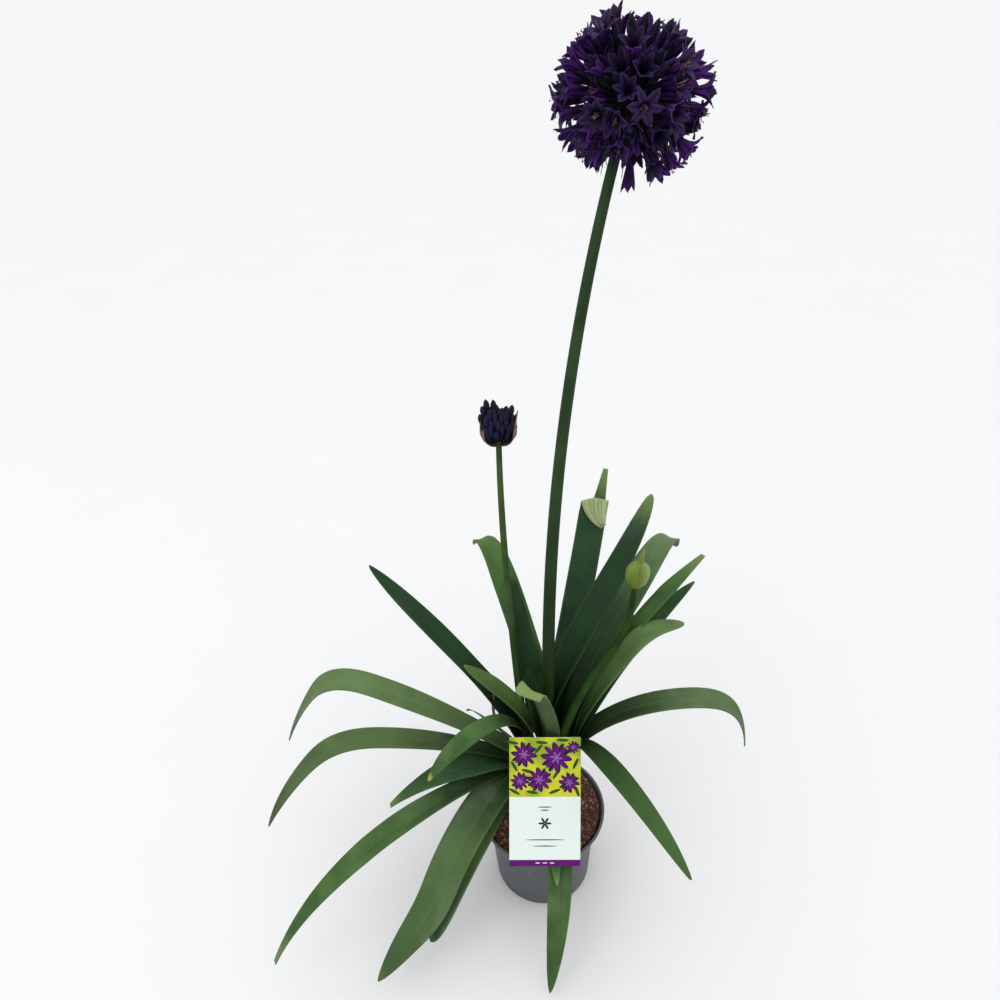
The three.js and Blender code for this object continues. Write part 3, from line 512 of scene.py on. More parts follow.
LEAVES = [
    strap("right_3", 216, 18, 288.8, 99, 76, 0.69, 13.5, 31, "crested", offset=(2, -9),
          nod=(46.8, 0.64, 0.25), root=0.4, full=0.75, end=ROUNDED),
    strap("right_2", 218.8, 22.3, 340.4, 99.2, 85.3, 0.64, 15.1, 21, "mid", offset=(0, 4.9), taper=0.2,
          root=1.1, end=BLUNT, tip="light"),
    strap("right_4", 212, 34, 306, 79, 69.9, 0.76, 3.7, 27, "deep", root=0.8),
    strap("right_5", 224, -2, 340, 79, 128, 0.75, 8, 28, "crowned", nod=(35, 0.58, 0.25), roll=20,
          root=0.8),
    strap("right_6", 232, 290, 259, 92.8, 136.1, 0.53, 19, 27, "inky", offset=(4, 0), taper=0.6,
          tip="brown"),
    strap("right_1", 228, 32.6, 407, 101.7, 107.4, 0.78, 25.8, 42, "grey", nod=(54, 0.735, 0.25),
          taper=0.42, full=0.6, end=CURLED, tip="brown"),
    strap("middle_6", 240, 225, 163, 89, 26, 1, 0, 36, "dull", offset=(0, -14), nod=(100, 0.88, 0.05),
          taper=0.1, root=0.8, full=0.5, end=CUT_OFF, tip="turned", slant=0.05),
    strap("middle_7", 188, 271.7, 136, -14.9, 19.3, 0.86, -0.8, 18, "mid", offset=(-2, -4), tip="light"),
    strap("middle_8", 172, 279.6, 271, -5.7, 72.4, 1.09, -35, 34, "mid", offset=(2, -4), taper=0.8),
    strap("middle_3", 240, 13.96, 378.62, 137.7, 110.07, 0.35, 45.72, 38, "dusky", taper=0.55, end=FULL,
          tip="light"),
    strap("middle_1", 236, 57.8, 369.3, 71.6, 24, 0.81, 14.2, 36, "dark", nod=(-172, 0.885, 0.035),
          taper=0.115, root=1.1, full=0.9, end=FLAP, tip="pale", lopsided=1.1, sink=6),
    strap("middle_2", 238.8, 60, 364.6, 65.4, 11.4, 0.72, 5.1, 28, "mid", offset=(0, 4.9), twist=25,
          taper=0.28, end=BLUNT, tip="light"),
    strap("middle_5", 246, 125, 240, 61, -22, 1, -4, 30, "dark", root=1.7, full=0.6),
    strap("middle_4", 238, 117, 350, 72, 47, 1.25, -4, 36, "mid", nod=(74, 0.69, 0.25), root=1.3,
          tip="light"),
    strap("left_3", 238, 199.3, 201.3, 114.4, 128.1, 0.57, 10.4, 28, "mid", nod=(36.7, 0.29, 0.25),
          taper=0.4, root=0.3, full=0.65, tip="yellow"),
    strap("left_2", 240, 181.7, 164.2, 115.6, 105.7, 0.76, -35.8, 24, "glossy", taper=0.35, root=1.4,
          foot=(7, -4)),
    strap("left_6", 206, 198.6, 206, 62.7, 103.6, 0.63, -6.4, 45, "deep", taper=0.58, root=0.8,
          end=BLUNT, tip="light"),
    strap("left_8", 222, 225.1, 335, 23.9, 102.9, 0.48, -2.9, 54, "bloomed", nod=(-47.2, 0.58, 0.25),
          taper=0.5, root=0.9),
    strap("left_7", 212, 208.6, 432, 17, 80.2, 1.04, -4.2, 33, "mid", end=BLUNT, tip="light"),
    strap("left_4", 222, 171, 450, 39, 43, 1, -7, 31, "paling", nod=(64, 0.49, 0.25), roll=-20),
    strap("left_5", 214, 185, 446, 35, 55, 1, -1, 29, "ashen", nod=(46, 0.44, 0.25), roll=-15),
    strap("left_1", 238, 158, 333, 90, 77, 0.5, -26, 29, "dusky", root=1.4, tip="brown"),
    strap("left_9", 200, 229.1, 249, -0.1, 53.1, 0.56, -2, 32, "bloomed", taper=0.35, end=ROUNDED),
]
# The darker and the lighter green of each shade, and the shares of the length where a blade turns from
# the darker one to the lighter, unless both show all along it. That turn is painted light and shade: the
# lighter green stands for light on the upper part of the blade and the darker for shade below it, and
# where the shares run backwards, for shade towards its end. The lighter part of "glossy" is painted light.
SHADES = {
    "dark": (srgb(25, 48, 30), srgb(38, 62, 39), None),
    "deep": (srgb(28, 56, 30), srgb(48, 78, 42), None),
    "mid": (srgb(42, 68, 34), srgb(66, 94, 50), None),
    "dusky": (srgb(13, 30, 16), srgb(29, 52, 30), (0.2, 0.6)),
    "glossy": (srgb(26, 50, 18), srgb(66, 90, 46), (0.3, 0.7)),
    "inky": (srgb(28, 54, 18), srgb(60, 86, 46), (0.5, 0.9)),
    "crowned": (srgb(14, 34, 9), srgb(80, 101, 66), (0.44, 0.66)),
    "crested": (srgb(27, 55, 20), srgb(88, 113, 67), (0.42, 0.78)),
    "paling": (srgb(34, 52, 26), srgb(83, 106, 66), (0.98, 0.8)),
    "ashen": (srgb(34, 52, 26), srgb(73, 93, 56), (1.0, 0.75)),
    "grey": (srgb(24, 47, 28), srgb(84, 108, 70), (0.55, 0.85)),
    "dull": (srgb(60, 76, 50), srgb(80, 98, 64), None),
    "bloomed": (srgb(42, 64, 40), srgb(77, 101, 61), (1.0, 0.6)),
}
# Where along a blade its end turns another colour, and how much; the "light" end is painted light on the
# blade's outer part.
TIPS = {
    "plain": (0.95, 1.0, srgb(104, 118, 62), 0.3),
    "light": (0.88, 1.0, srgb(112, 134, 80), 0.6),
    "pale": (0.83, 0.87, srgb(138, 150, 106), 0.95),
    "turned": (0.83, 0.87, srgb(108, 128, 76), 0.9),
    "yellow": (0.96, 0.985, srgb(156, 152, 76), 0.85),
    "brown": (0.985, 1.0, srgb(84, 66, 42), 0.7),
}
# Colours at a blade's root: painted shade, and on the "paling" blade painted light that keeps its root
# pale.
ROOT_SHADE_GREEN, PALING_LIT_ROOT = srgb(8, 22, 6), srgb(62, 82, 48)
RIM_GREEN, BLOOM_GREY, MARGIN_PURPLE = srgb(92, 114, 62), srgb(112, 130, 112), srgb(24, 17, 30)
# How much lighter the keel and the rim show on each side of a blade.
BLADE_SIDES = [("top", 0.18, 0.2), ("back", 0.45, 0.3), ("edge", 0.0, 0.0)]
BLADE_ACROSS, BLADE_ALONG, BLADE_THICKNESS = 12, 104, 1.5
FOLD_AT_ROOT, FOLD_AT_TIP = 26, 9
SHEATH_SHARE, SHEATH_REACH, SHEATH_BLEND = 0.16, radians(105), 34
SHEATH_BELOW_SOIL, SHEATH_BELOW_ROOT = 6, 4
# A fold over less than this share of the length gets this share of the rows.
SHARP_FOLD, SHARP_FOLD_ROWS = 0.1, 0.25
# A root that stands further out of its neck than this clasps it from its own side.
OUTSTANDING = 5
# Blades keep this far off the stems, up to a share of a blade's length and of a stem's.
STEM_CLEARANCE, BLADE_NEAR_STEMS, STEM_NEAR_BLADES = 1.1, 0.35, 0.45


def pointed(share, starts, bulge, blunt):
    """1 up to where the point starts, then falling to 0 at the end."""
    towards_tip = max(0.0, (share - starts) / (1 - starts))
    return max(0.0, 1 - towards_tip ** bulge) ** blunt


def blade_width(leaf, share):
    swell = mixed(leaf.root, 1, eased(share / leaf.full))
    bulge, fullness, least = leaf.end
    return mixed(least, leaf.width * swell, pointed(share, 1 - leaf.taper, bulge, fullness))


def clear_of_stems(point):
    """Pushes a point of a blade out of the stem that it would run into."""
    for name, stem in STEMS.items():
        line, (low, high) = STEM_LINES[name], (0.0, 1.0)
        if not line(0).point.z < point.z < line(STEM_NEAR_BLADES).point.z:
            continue
        for _ in range(14):
            middle = (low + high) / 2
            low, high = (middle, high) if line(middle).point.z < point.z else (low, middle)
        away = point - line(low).point
        away.z = 0
        room = stem_radius(stem, low) + STEM_CLEARANCE
        if away.length < room:
            point = point + away.normalized() * (room - away.length)
    return point


def blade_finishes(shade, tip):
    """Upper side, keeled underside and edge of a blade."""
    # Where a blade turns between its two greens, the lighter one is painted light and the darker one
    # painted shade.
    deep, light, painted_light_shares = SHADES[shade]
    # The root gets painted shade, except on the paling blade, whose root gets painted light.
    root = PALING_LIT_ROOT if shade == "paling" else ROOT_SHADE_GREEN
    lighter = tuple(min(1.0, part * 1.4) for part in light)
    starts, ends, tip_colour, strength = TIPS[tip]
    finishes = []
    for side, keel_share, rim_share in BLADE_SIDES:
        green = green_finish(f"leaf_{shade}_{tip}_{side}", deep, light, root, painted_light_shares)
        aside = green.off(green.u, 0.5)
        green.paint(lighter, aside, 0.03, 0.0, keel_share)
        green.paint(RIM_GREEN, aside, 0.45, 0.495, rim_share)
        green.paint(BLOOM_GREY, green.noise(13, 3), 0.5, 0.72, 0.2 if shade == "bloomed" else 0.06)
        if shade == "crested":
            low_down = green.span(green.v, 0.28, 0.42, 0.95, 0.0)
            green.lay(MARGIN_PURPLE, green.times(green.span(aside, 0.2, 0.45), low_down))
        ragged = green.sums("ADD", green.v, green.span(green.noise(140, 3), 0.2, 0.8, -0.01, 0.01))
        rib = green.span(green.streaks(11.0, 0.6, 2), 0.4, 0.62, 0.0, 0.4 if tip == "pale" else 0.1)
        green.paint(green.mix(rib, tip_colour, light), ragged, starts, ends, strength)
        finishes.append(green)
    return finishes


def thicken(piece, thickness, back=0, rim=0):
    """Gives a sheet its thickness, and its back and rim their own finishes where it has them."""
    wall = piece.modifiers.new("thickness", "SOLIDIFY")
    wall.thickness, wall.offset = thickness * MM, 0.0
    wall.material_offset, wall.material_offset_rim = back, rim


def sheet_piece(name, across, along, place, finishes, thickness, back=0, rim=0):
    bm = bmesh.new()
    sheet(bm, across, along, place)
    piece = as_piece(name, bm, finishes, 180)
    thicken(piece, thickness, back, rim)
    return piece


def make_blade(leaf):
    line = grown(leaf.growth)
    neck = NECKS[leaf.growth.neck]
    layers = [other for other in LOWEST_FIRST if other.growth.neck == leaf.growth.neck]
    depth = layers.index(leaf) / len(layers)
    _, fold_start, fold_span = leaf.growth.nod
    offset = Vector((*leaf.growth.offset, 0))
    heading = radians(leaf.growth.heading)
    if offset.length > OUTSTANDING:
        heading = atan2(offset.y, offset.x)
    root_height = leaf.growth.height - SHEATH_BELOW_ROOT

    def spread(v):
        """Gives a sharp fold its share of the rows."""
        if fold_span >= SHARP_FOLD:
            return v
        begins, over = fold_start - 0.02, fold_span + 0.04
        pace = (1 - over) / (1 - SHARP_FOLD_ROWS)
        reached = begins / pace
        if v < reached:
            return v * pace
        if v < reached + SHARP_FOLD_ROWS:
            return begins + (v - reached) / SHARP_FOLD_ROWS * over
        return begins + over + (v - reached - SHARP_FOLD_ROWS) * pace

    def clasp(side, height):
        radius = neck_radius(neck, height) * mixed(1.0, neck.core, depth) + offset.length * 0.35
        return round_neck(neck, height, heading + side * SHEATH_REACH, radius)

    def blade(side, share):
        spot = line(share)
        roll = radians(leaf.roll + leaf.twist * share)
        sideways = spot.side * cos(roll) + spot.face * sin(roll)
        up = spot.face * cos(roll) - spot.side * sin(roll)
        fold = radians(mixed(FOLD_AT_ROOT, FOLD_AT_TIP, share))
        half = blade_width(leaf, share) / 2
        channel = half * sin(fold) * (abs(side) ** 1.25 - 0.5)
        wave = 0.022 * half * sin(share * leaf.growth.length / 21 + 2.2 * side + leaf.growth.heading)
        aside = half * cos(fold) * side
        if leaf.lopsided and share > fold_start:
            aside -= (leaf.width / 2 - half) * leaf.lopsided
        foot = Vector((*leaf.foot, 0)) * (1 - share) ** 2
        sunk = Vector((0, 0, leaf.sink * (1 + side) / 2 * eased((share - fold_start + 0.05) / 0.05)))
        return spot.point + foot + sideways * aside + up * (channel + wave) - sunk

    def place(u, v):
        side = 1 - 2 * u
        if v < SHEATH_SHARE:
            return clasp(side, mixed(SOIL_LINE - SHEATH_BELOW_SOIL, root_height, v / SHEATH_SHARE))
        share = spread((v - SHEATH_SHARE) / (1 - SHEATH_SHARE)) * (1 - leaf.slant * (1 + side) / 2)
        blend = eased(share * leaf.growth.length / SHEATH_BLEND)
        if blend >= 1:
            spot = blade(side, share)
            return clear_of_stems(spot) if share < BLADE_NEAR_STEMS else spot
        return clear_of_stems(clasp(side, root_height + 12 * blend).lerp(blade(side, share), blend))

    return sheet_piece(f"strap_{leaf.name}", BLADE_ACROSS, BLADE_ALONG, place,
                       blade_kinds[leaf.shade, leaf.tip], BLADE_THICKNESS, 1, 2)


LOWEST_FIRST = sorted(LEAVES, key=lambda leaf: leaf.growth.height)
blade_kinds = {kind: blade_finishes(*kind) for kind in sorted({(leaf.shade, leaf.tip) for leaf in LEAVES})}
for leaf in LEAVES:
    fit(make_blade(leaf), "leaf_blade", f"leaf_{leaf.name}")


# ------------------------ withered strips
# Two dead outer leaves have split and dried to thin grey-green strips that curl among the blades
# of the left neck.

STRIPS = [
    strap("left_strip_1", 232, 163.1, 116, 39.4, 97.4, 1.92, -41.6, 6, "dry", twist=60, root=0.7),
    strap("left_strip_2", 225, 156.3, 120.7, 14.8, -85.5, 0.6, 21.1, 5, "dry", twist=80, root=0.7),
]
STRIP_THICKNESS = 0.8
dried = Finish("dry_straw", 0.85, 0.2, srgb(46, 56, 38))
fibre = dried.noise(500, 4)
dried.paint(srgb(88, 98, 70), fibre, 0.3, 0.7)
dried.bump(fibre, 0.0004, 0.6)
for strip in STRIPS:
    def withered(u, v, strip=strip, line=grown(strip.growth)):
        spot = line(v)
        roll = radians(strip.twist * v)
        sideways = spot.side * cos(roll) + spot.face * sin(roll)
        half = blade_width(strip, v) / 2
        return spot.point + sideways * half * (1 - 2 * u) + spot.face * 0.7 * sin(9 * v)
    piece = sheet_piece(f"withered_{strip.name}", 4, 50, withered, [dried], STRIP_THICKNESS)
    fit(piece, "dry_strip", strip.name.replace("left", "dry"))


# ------------------------ open flower head
# A round head of trumpet flowers on stalks from one point: six narrow tepals joined in a tube,
# near-black outside and violet inside with a darker midvein, around six thin stamens.

FLORET_LENGTH, STALK_LENGTH, STALK_RADIUS = 28, 44, 1.15
TEPAL_FOOT, TEPAL_STEPS, TEPAL_THICKNESS = 1.3, 24, 0.5
INNER_TEPAL_HALF, OUTER_TEPAL_HALF = 3.9, 3.2
STAMENS, STAMEN_RADIUS, STAMEN_FOOT = 6, 0.34, 7
HEAD_BUD_LENGTHS, HEAD_BUD_RADII = (22, 28), (2.6, 3.5)
INNER_FLORETS, BACK_PLACES = 88, 74
WITHERED_THREADS, THREAD_RADIUS = 26, 0.55
GOLDEN_TURN = pi * (3 - sqrt(5))
# Compass, elevation and opening of each floret or bud; an opening under 0 is a shut bud.
HEAD_PLAN = [
    (-157, 59, 1.0), (179, 52, 0.8), (-171, 77, 0.5), (-19, 55, 0.9), (-18, 38, 0.9), (-18, 24, 0.15),
    (-52, 30, 0.9), (-56, 15, 0.8), (-88, 6, 1.3), (-20, -4, 1.1), (-22, -15, 0.9), (-57, -15, 1.0),
    (-31, -32, 0.9), (-26, -34, 0.8), (-40, -58, 0.5), (-31, -46, 0.7), (-85, -74, 0.1),
    (-72, -50, 0.4), (-132, -40, 0.1), (-135, -14, 0.3), (-163, -18, 0.4), (-167, -3, 0.9),
    (180, 3, 0.8), (-171, 17, 0.7), (178, 23, 0.3), (178, 32, 0.5), (178, 43, 0.6), (179, 57, 0.5),
    (-126, -3, 0.8), (-114, -4, 0.7), (-108, -27, 0.6), (-99, 44, 0.5), (-19, 10, 0.7), (-55, 84, -1),
    (-37, 80, -1), (-25, 72, -1), (-21, 62, -1), (-19, 47, -1), (-23, -23, -1), (-63, 0, 0.4),
    (-69, 38, -1), (-108, 23, -1), (-103, -14, -1),
]
# Two shades of each tepal finish, then the shades of its foot, its midvein and its rim.
TEPAL_SHADES = {
    "tepal_violet": ((32, 12, 56), (84, 36, 118), (16, 8, 34), (18, 7, 38), (104, 62, 136)),
    "tepal_outside": ((12, 9, 28), (44, 26, 70), (7, 6, 20), (8, 6, 22), (70, 44, 102)),
    "tepal_rim": ((24, 14, 44), (60, 36, 90), (9, 7, 22), (26, 14, 46), (70, 44, 102)),
    "bud_navy": ((7, 7, 22), (17, 17, 42), (9, 10, 22), (5, 5, 16), (24, 24, 52)),
}


def around(axis):
    """Turns +Z to the axis."""
    return Vector(axis).to_track_quat("Z", "Y").to_matrix().to_4x4()


def tepal_finish(name, shades):
    deep, light, foot, vein, rim = (srgb(*shade) for shade in shades)
    petal = Finish(name, 0.6, 0.12, deep)
    petal.unroll()
    aside = petal.off(petal.u, 0.5)
    streak = petal.streaks(9.0, 0.8, 2)
    petal.paint(light, petal.noise(34, 2), 0.35, 0.65)
    petal.paint(light, streak, 0.5, 0.8, 0.5)
    petal.paint(vein, aside, 0.15, 0.04, 0.9)
    petal.paint(rim, aside, 0.4, 0.5, 0.35)
    petal.paint(foot, petal.v, 0.6, 0.15, 0.95)
    petal.bump(streak, 0.0004, 0.5)
    return petal


def clouded(name, roughness, shine, scale, detail, spread, first, second):
    """A finish that drifts between two shades."""
    finish = Finish(name, roughness, shine, first)
    finish.paint(second, finish.noise(scale, detail), 0.5 - spread, 0.5 + spread)
    return finish


violet, outside, tepal_rim, navy = [tepal_finish(*item) for item in TEPAL_SHADES.items()]
stalk_green = clouded("stalk_green", 0.5, 0.15, 90, 3, 0.15, srgb(12, 12, 20), srgb(26, 42, 24))
filament = clouded("filament_pink", 0.6, 0.15, 110, 2, 0.15, srgb(70, 34, 84), srgb(172, 128, 140))
anther = clouded("anther_dusty", 0.8, 0.1, 260, 2, 0.1, srgb(34, 22, 34), srgb(118, 88, 60))


def tepal_line(length, opening):
    """Distance out and up along a tepal, as a function of the share of its length."""
    out, up = TEPAL_FOOT, 0.0
    path = [(out, up)]
    for step in range(TEPAL_STEPS):
        share = (step + 0.5) / TEPAL_STEPS
        lean = radians(8 + 74 * opening * eased((share - 0.34) / 0.6))
        out += sin(lean) * length / TEPAL_STEPS
        up += cos(lean) * length / TEPAL_STEPS
        path.append((out, up))

    def reached(share):
        step, done = step_at(share, TEPAL_STEPS)
        return [mixed(first, second, done) for first, second in zip(path[step], path[step + 1])]
    return reached


def add_floret(bm, spot, opening, dice):
    """Six tepals in two whorls about +Z of the spot."""
    for petal in range(6):
        turn = radians(60 * petal + dice.uniform(-6, 6))
        inner = petal % 2
        line = tepal_line(FLORET_LENGTH * dice.uniform(0.92, 1.06), opening * dice.uniform(0.8, 1.2))
        broad = INNER_TEPAL_HALF if inner else OUTER_TEPAL_HALF
        broad *= dice.uniform(0.85, 1.1) * mixed(0.8, 1.05, min(opening, 1))
        curl = dice.uniform(-1.2, 1.2)

        def place(u, v):
            side = 2 * u - 1
            out, up = line(v)
            half = max(mixed(1.0, broad, eased(v / 0.62)) * pointed(v, 0.66, 2.2, 0.6), 0.25)
            out += 0.25 * inner - 0.22 * half * side * side
            up += 0.16 * half * side * side + curl * side * v * v
            local = Vector((out, half * side, up)) * MM
            return spot @ (Matrix.Rotation(turn, 4, "Z") @ local) / MM
        sheet(bm, 4, 8, place)


def add_strand(bm, points, radius, sides=6, tip=1.0):
    """A thin round strand through the points."""
    steps = len(points) - 1
    side = (points[1] - points[0]).normalized().orthogonal().normalized()

    def place(u, v):
        step, done = step_at(v, steps)
        along = (points[step + 1] - points[step]).normalized()
        across = (side - along * side.dot(along)).normalized()
        turn = tau * u
        ring = across * cos(turn) + along.cross(across) * sin(turn)
        return points[step].lerp(points[step + 1], done) + ring * radius * mixed(1, tip, v)
    sheet(bm, sides, steps, place, wrapped=True)


def bent(start, end, pull, steps):
    """Points of a curve from start to end, drawn aside by a pull at its middle."""
    middle = (start + end) / 2 + pull
    shares = [step / steps for step in range(steps + 1)]
    return [start.lerp(middle, share).lerp(middle.lerp(end, share), share) for share in shares]


def add_bud(bm, spot, length, radius):
    """A shut bud: a six-ribbed club that ends in a blunt point."""
    def place(u, v):
        turn = -tau * u
        fat = mixed(0.32, 1, eased(v / 0.55)) * pointed(v, 0.58, 2.1, 0.7)
        ribbed = radius * max(fat, 0.05) * (1 + 0.07 * cos(6 * turn))
        return spot @ ((aimed(turn) * ribbed + Vector((0, 0, length * v))) * MM) / MM
    sheet(bm, 12, 9, place, wrapped=True)


def evenly(count, skew=0.0):
    """Compass and elevation of directions spread evenly over a ball, each with its number."""
    for number in range(count):
        z = 1 - 2 * (number + 0.5) / count
        turn = GOLDEN_TURN * number + skew
        yield number, aimed(turn, asin(z)), (degrees(turn), degrees(asin(z)))


head_end = STEM_LINES["flower_stem_tall"](1)
head_middle = head_end.point + head_end.forward * 5
dice = random.Random(17)
florets = [(*place, 1.0) for place in HEAD_PLAN]
for number, direction, compass_and_elevation in evenly(BACK_PLACES):
    if direction.y > 0.12 and direction.z > -0.85:
        opening = -1 if number % 5 == 2 else dice.uniform(0.3, 0.9)
        florets.append((*compass_and_elevation, opening, 1.0))
for number, direction, compass_and_elevation in evenly(INNER_FLORETS, 0.7):
    if direction.z > -0.9:
        opening = -1 if number % 3 == 1 else dice.uniform(0.05, 0.6)
        florets.append((*compass_and_elevation, opening, dice.uniform(0.42, 0.82)))

tepals, buds, stalks, stamens = [bmesh.new() for _ in range(4)]
for compass, elevation, opening, depth in florets:
    direction = aimed(radians(compass), radians(elevation))
    end = head_middle + direction * (STALK_LENGTH * dice.uniform(0.82, 1.06) * depth)
    sag = Vector((dice.uniform(-0.22, 0.22), dice.uniform(-0.22, 0.22), dice.uniform(-0.3, 0.12)))
    aim = (direction + sag).normalized()
    spot = placed(end) @ around(aim) @ Matrix.Rotation(dice.uniform(0, tau), 4, "Z")
    add_strand(stalks, bent(head_middle + direction * 4, end, Vector((0, 0, 2.0)), 6), STALK_RADIUS)
    if opening < 0:
        add_bud(buds, spot, dice.uniform(*HEAD_BUD_LENGTHS), dice.uniform(*HEAD_BUD_RADII))
        continue
    add_floret(tepals, spot, opening, dice)
    if opening < 0.55:
        continue
    for thread in range(STAMENS):
        turn = tau * thread / STAMENS + dice.uniform(-0.3, 0.3)
        top = aimed(turn) * dice.uniform(0.8, 3.4)
        top.z = dice.uniform(15, 25)
        curve = bent(aimed(turn) * 0.8 + Vector((0, 0, STAMEN_FOOT)), top, Vector((0, 0, 1)), 5)
        curve = [spot @ (point * MM) / MM for point in curve]
        add_strand(stamens, curve, STAMEN_RADIUS, 4, 0.7)
        tilted = placed(curve[-1]) @ around(aim) @ Matrix.Rotation(dice.uniform(0, 3), 4, "X")
        for face in faces_of(add_ball(stamens, tilted @ sized(0.5, 0.5, 1.1), 1)):
            face.material_index = 1
# Spent styles and shrivelled stamens hang from the underside of the head.
for thread in range(WITHERED_THREADS):
    turn = radians(dice.uniform(170, 350))
    start = head_middle + aimed(turn) * dice.uniform(34, 52)
    start.z -= dice.uniform(12, 34)
    end = start + Vector((dice.uniform(-6, 4), dice.uniform(-4, 4), -dice.uniform(12, 24)))
    pull = Vector((dice.uniform(-3, 3), dice.uniform(-3, 3), 0))
    add_strand(stalks, bent(start, end, pull, 7), THREAD_RADIUS, 4, 0.6)
add_ball(stalks, placed(head_middle) @ sized(6.5, 6.5, 6.5))

open_tepals = as_piece("head_tepals", tepals, [violet, outside, tepal_rim], 180)
thicken(open_tepals, TEPAL_THICKNESS, 1, 2)
fit(open_tepals, "flower_head", "flower_head")
for name, bm, finishes, crease in (
        ("head_buds", buds, [navy], 70), ("head_stalks", stalks, [stalk_green], 70),
        ("head_stamens", stamens, [filament, anther], 80)):
    close_ends(bm)
    fit(as_piece(name, bm, finishes, crease), "flower_head", "flower_head")


# ------------------------ cluster of buds
# A younger head: navy buds still upright and packed together on short stalks, held between two
# halves of the papery bract that wrapped them and has split, dried brown and rolled back.

# Tip of each bud from the foot of the cluster: rightwards, backwards and up the stem.
CLUSTER_PLAN = [
    (-14.5, 1.5, 47), (-5.5, 1, 46.5), (-19, 0, 39.5), (-22, 3, 30), (10, 2, 39), (17, 1.5, 40),
    (-10.5, -6, 35), (2.5, -4, 35), (-16, -8, 25), (-3, -11, 25), (9.5, -8, 29), (18, -3, 29),
    (-10, -13, 16), (5, -14, 17), (-17, 7, 33), (0, 8, 38), (13, 9, 36), (-8, 10, 36), (20, 5, 27),
    (5, 3, 37), (-2, 2, 41), (14, -12, 17), (-3, -15, 9), (-20, -4, 18), (21, 0, 18), (20, 8, 20),
    (-20, 8, 22), (8, 14, 30), (-6, 15, 28), (12, -9, 8), (-14, -10, 8), (-9, 1, 38), (13, -2, 36),
    (0, 0, 33), (-6, -2, 36), (6, -3, 33), (-12, 2, 36), (-4, -8, 31), (4, -9, 28), (10, -5, 33),
    (-13, -5, 30), (-9, -10, 22), (0, -13, 20), (10, -12, 22), (-15, -11, 14), (17, -8, 20),
]
CLUSTER_BUD_LENGTHS, LOW_BUD_LENGTH, CLUSTER_BUD_RADII = (16, 20), 14, (3.3, 4.0)
LOW_BUDS_BELOW = 12
CLUSTER_STALK_RADIUS = 1.2
BRACT_HALF, BRACT_REACH, BRACT_THICKNESS = 15, 20, 0.6


def across_stem(forward):
    """The ways to the right and to the back that are square to a stem."""
    rightwards = (Vector((1, 0, 0)) - forward * forward.x).normalized()
    return rightwards, forward.cross(rightwards)


cluster_end = STEM_LINES["flower_stem_budding"](1)
upright = cluster_end.forward
cluster_foot = cluster_end.point + upright * 2
rightwards, backwards = across_stem(upright)
dice = random.Random(29)
buds, stalks = bmesh.new(), bmesh.new()
for x, y, z in CLUSTER_PLAN:
    aside = rightwards * x + backwards * y
    lean = (aside * 0.45 + upright * (abs(z) * 0.7 + 10)).normalized()
    length = dice.uniform(*CLUSTER_BUD_LENGTHS) if z > LOW_BUDS_BELOW else LOW_BUD_LENGTH
    foot = cluster_foot + aside + upright * z - lean * length
    add_bud(buds, placed(foot) @ around(lean), length, dice.uniform(*CLUSTER_BUD_RADII))
    add_strand(stalks, bent(cluster_foot, foot + lean, lean * -1.5, 4), CLUSTER_STALK_RADIUS)
# The youngest buds, still packed in the middle, show as one dark mass.
add_ball(buds, placed(cluster_foot + upright * 12) @ around(upright) @ sized(11, 10, 12))
add_ball(stalks, placed(cluster_foot + upright * 4) @ sized(7, 7, 7))
for name, bm, finish in (("cluster_buds", buds, navy), ("cluster_stalks", stalks, stalk_green)):
    close_ends(bm)
    fit(as_piece(name, bm, [finish], 70), "flower_bud", "bud_cluster")

paper = Finish("papery_bract", 0.8, 0.25, srgb(66, 46, 40))
paper.unroll()
crinkle = paper.streaks(30.0, 2.0, 4)
paper.paint(srgb(122, 98, 84), crinkle, 0.3, 0.7)
paper.paint(srgb(48, 58, 30), paper.v, 0.4, 0.05, 0.9)
paper.bump(crinkle, 0.0008, 0.7)

for name, compass, length, flare in (("left", 172, 25, 0), ("right", 12, 30, 2)):
    def cupped(u, v, compass=compass, length=length, flare=flare):
        outward = aimed(radians(compass))
        across = aimed(radians(compass) - QUARTER_TURN)
        side = 2 * u - 1
        bowl = min(v / 0.6, 1) * QUARTER_TURN
        out = 2 + BRACT_REACH * sin(bowl) ** 0.8 + flare * max(0.0, v - 0.75) * 4
        high = -5 + 15 * (1 - cos(bowl)) + (length - 10) * max(0.0, v - 0.5) / 0.5
        half = BRACT_HALF * (0.2 + 0.8 * sin(pi * min(v * 0.8 + 0.1, 1)))
        half *= mixed(1, 0.12, eased((v - 0.5) / 0.5))
        crumple = 0.9 * noise.noise(Vector((u * 4, v * 5, compass)))
        middle = cluster_foot + outward * (out + crumple) + upright * high
        return middle + across * half * side - outward * half * 0.5 * abs(side) ** 1.7
    fit(sheet_piece(f"papery_bract_{name}", 16, 26, cupped, [paper], BRACT_THICKNESS),
        "papery_bract", f"bract_{name}")


# ------------------------ shut bud
# The youngest flower stem ends in a bud still closed in its green bract, swollen in the middle,
# ribbed by darker veins and drawn out to a thin beak.

# Share of the length and share of the radius, from below the foot to the beak.
SHUT_BUD_PROFILE = [
    (-0.04, 0.25), (0.02, 0.5), (0.15, 0.86), (0.3, 1), (0.46, 0.97), (0.58, 0.74), (0.66, 0.34),
    (0.75, 0.22), (0.88, 0.14), (1, 0.05),
]
SHUT_BUD_LENGTH, SHUT_BUD_RADIUS, SHUT_BUD_DEPTH_SHARE = 52, 13.6, 0.85
BEAK_LEAN = 4
SEAM_AT = 0.27
shut_end = STEM_LINES["flower_stem_short"](1)
rightwards, backwards = across_stem(shut_end.forward)


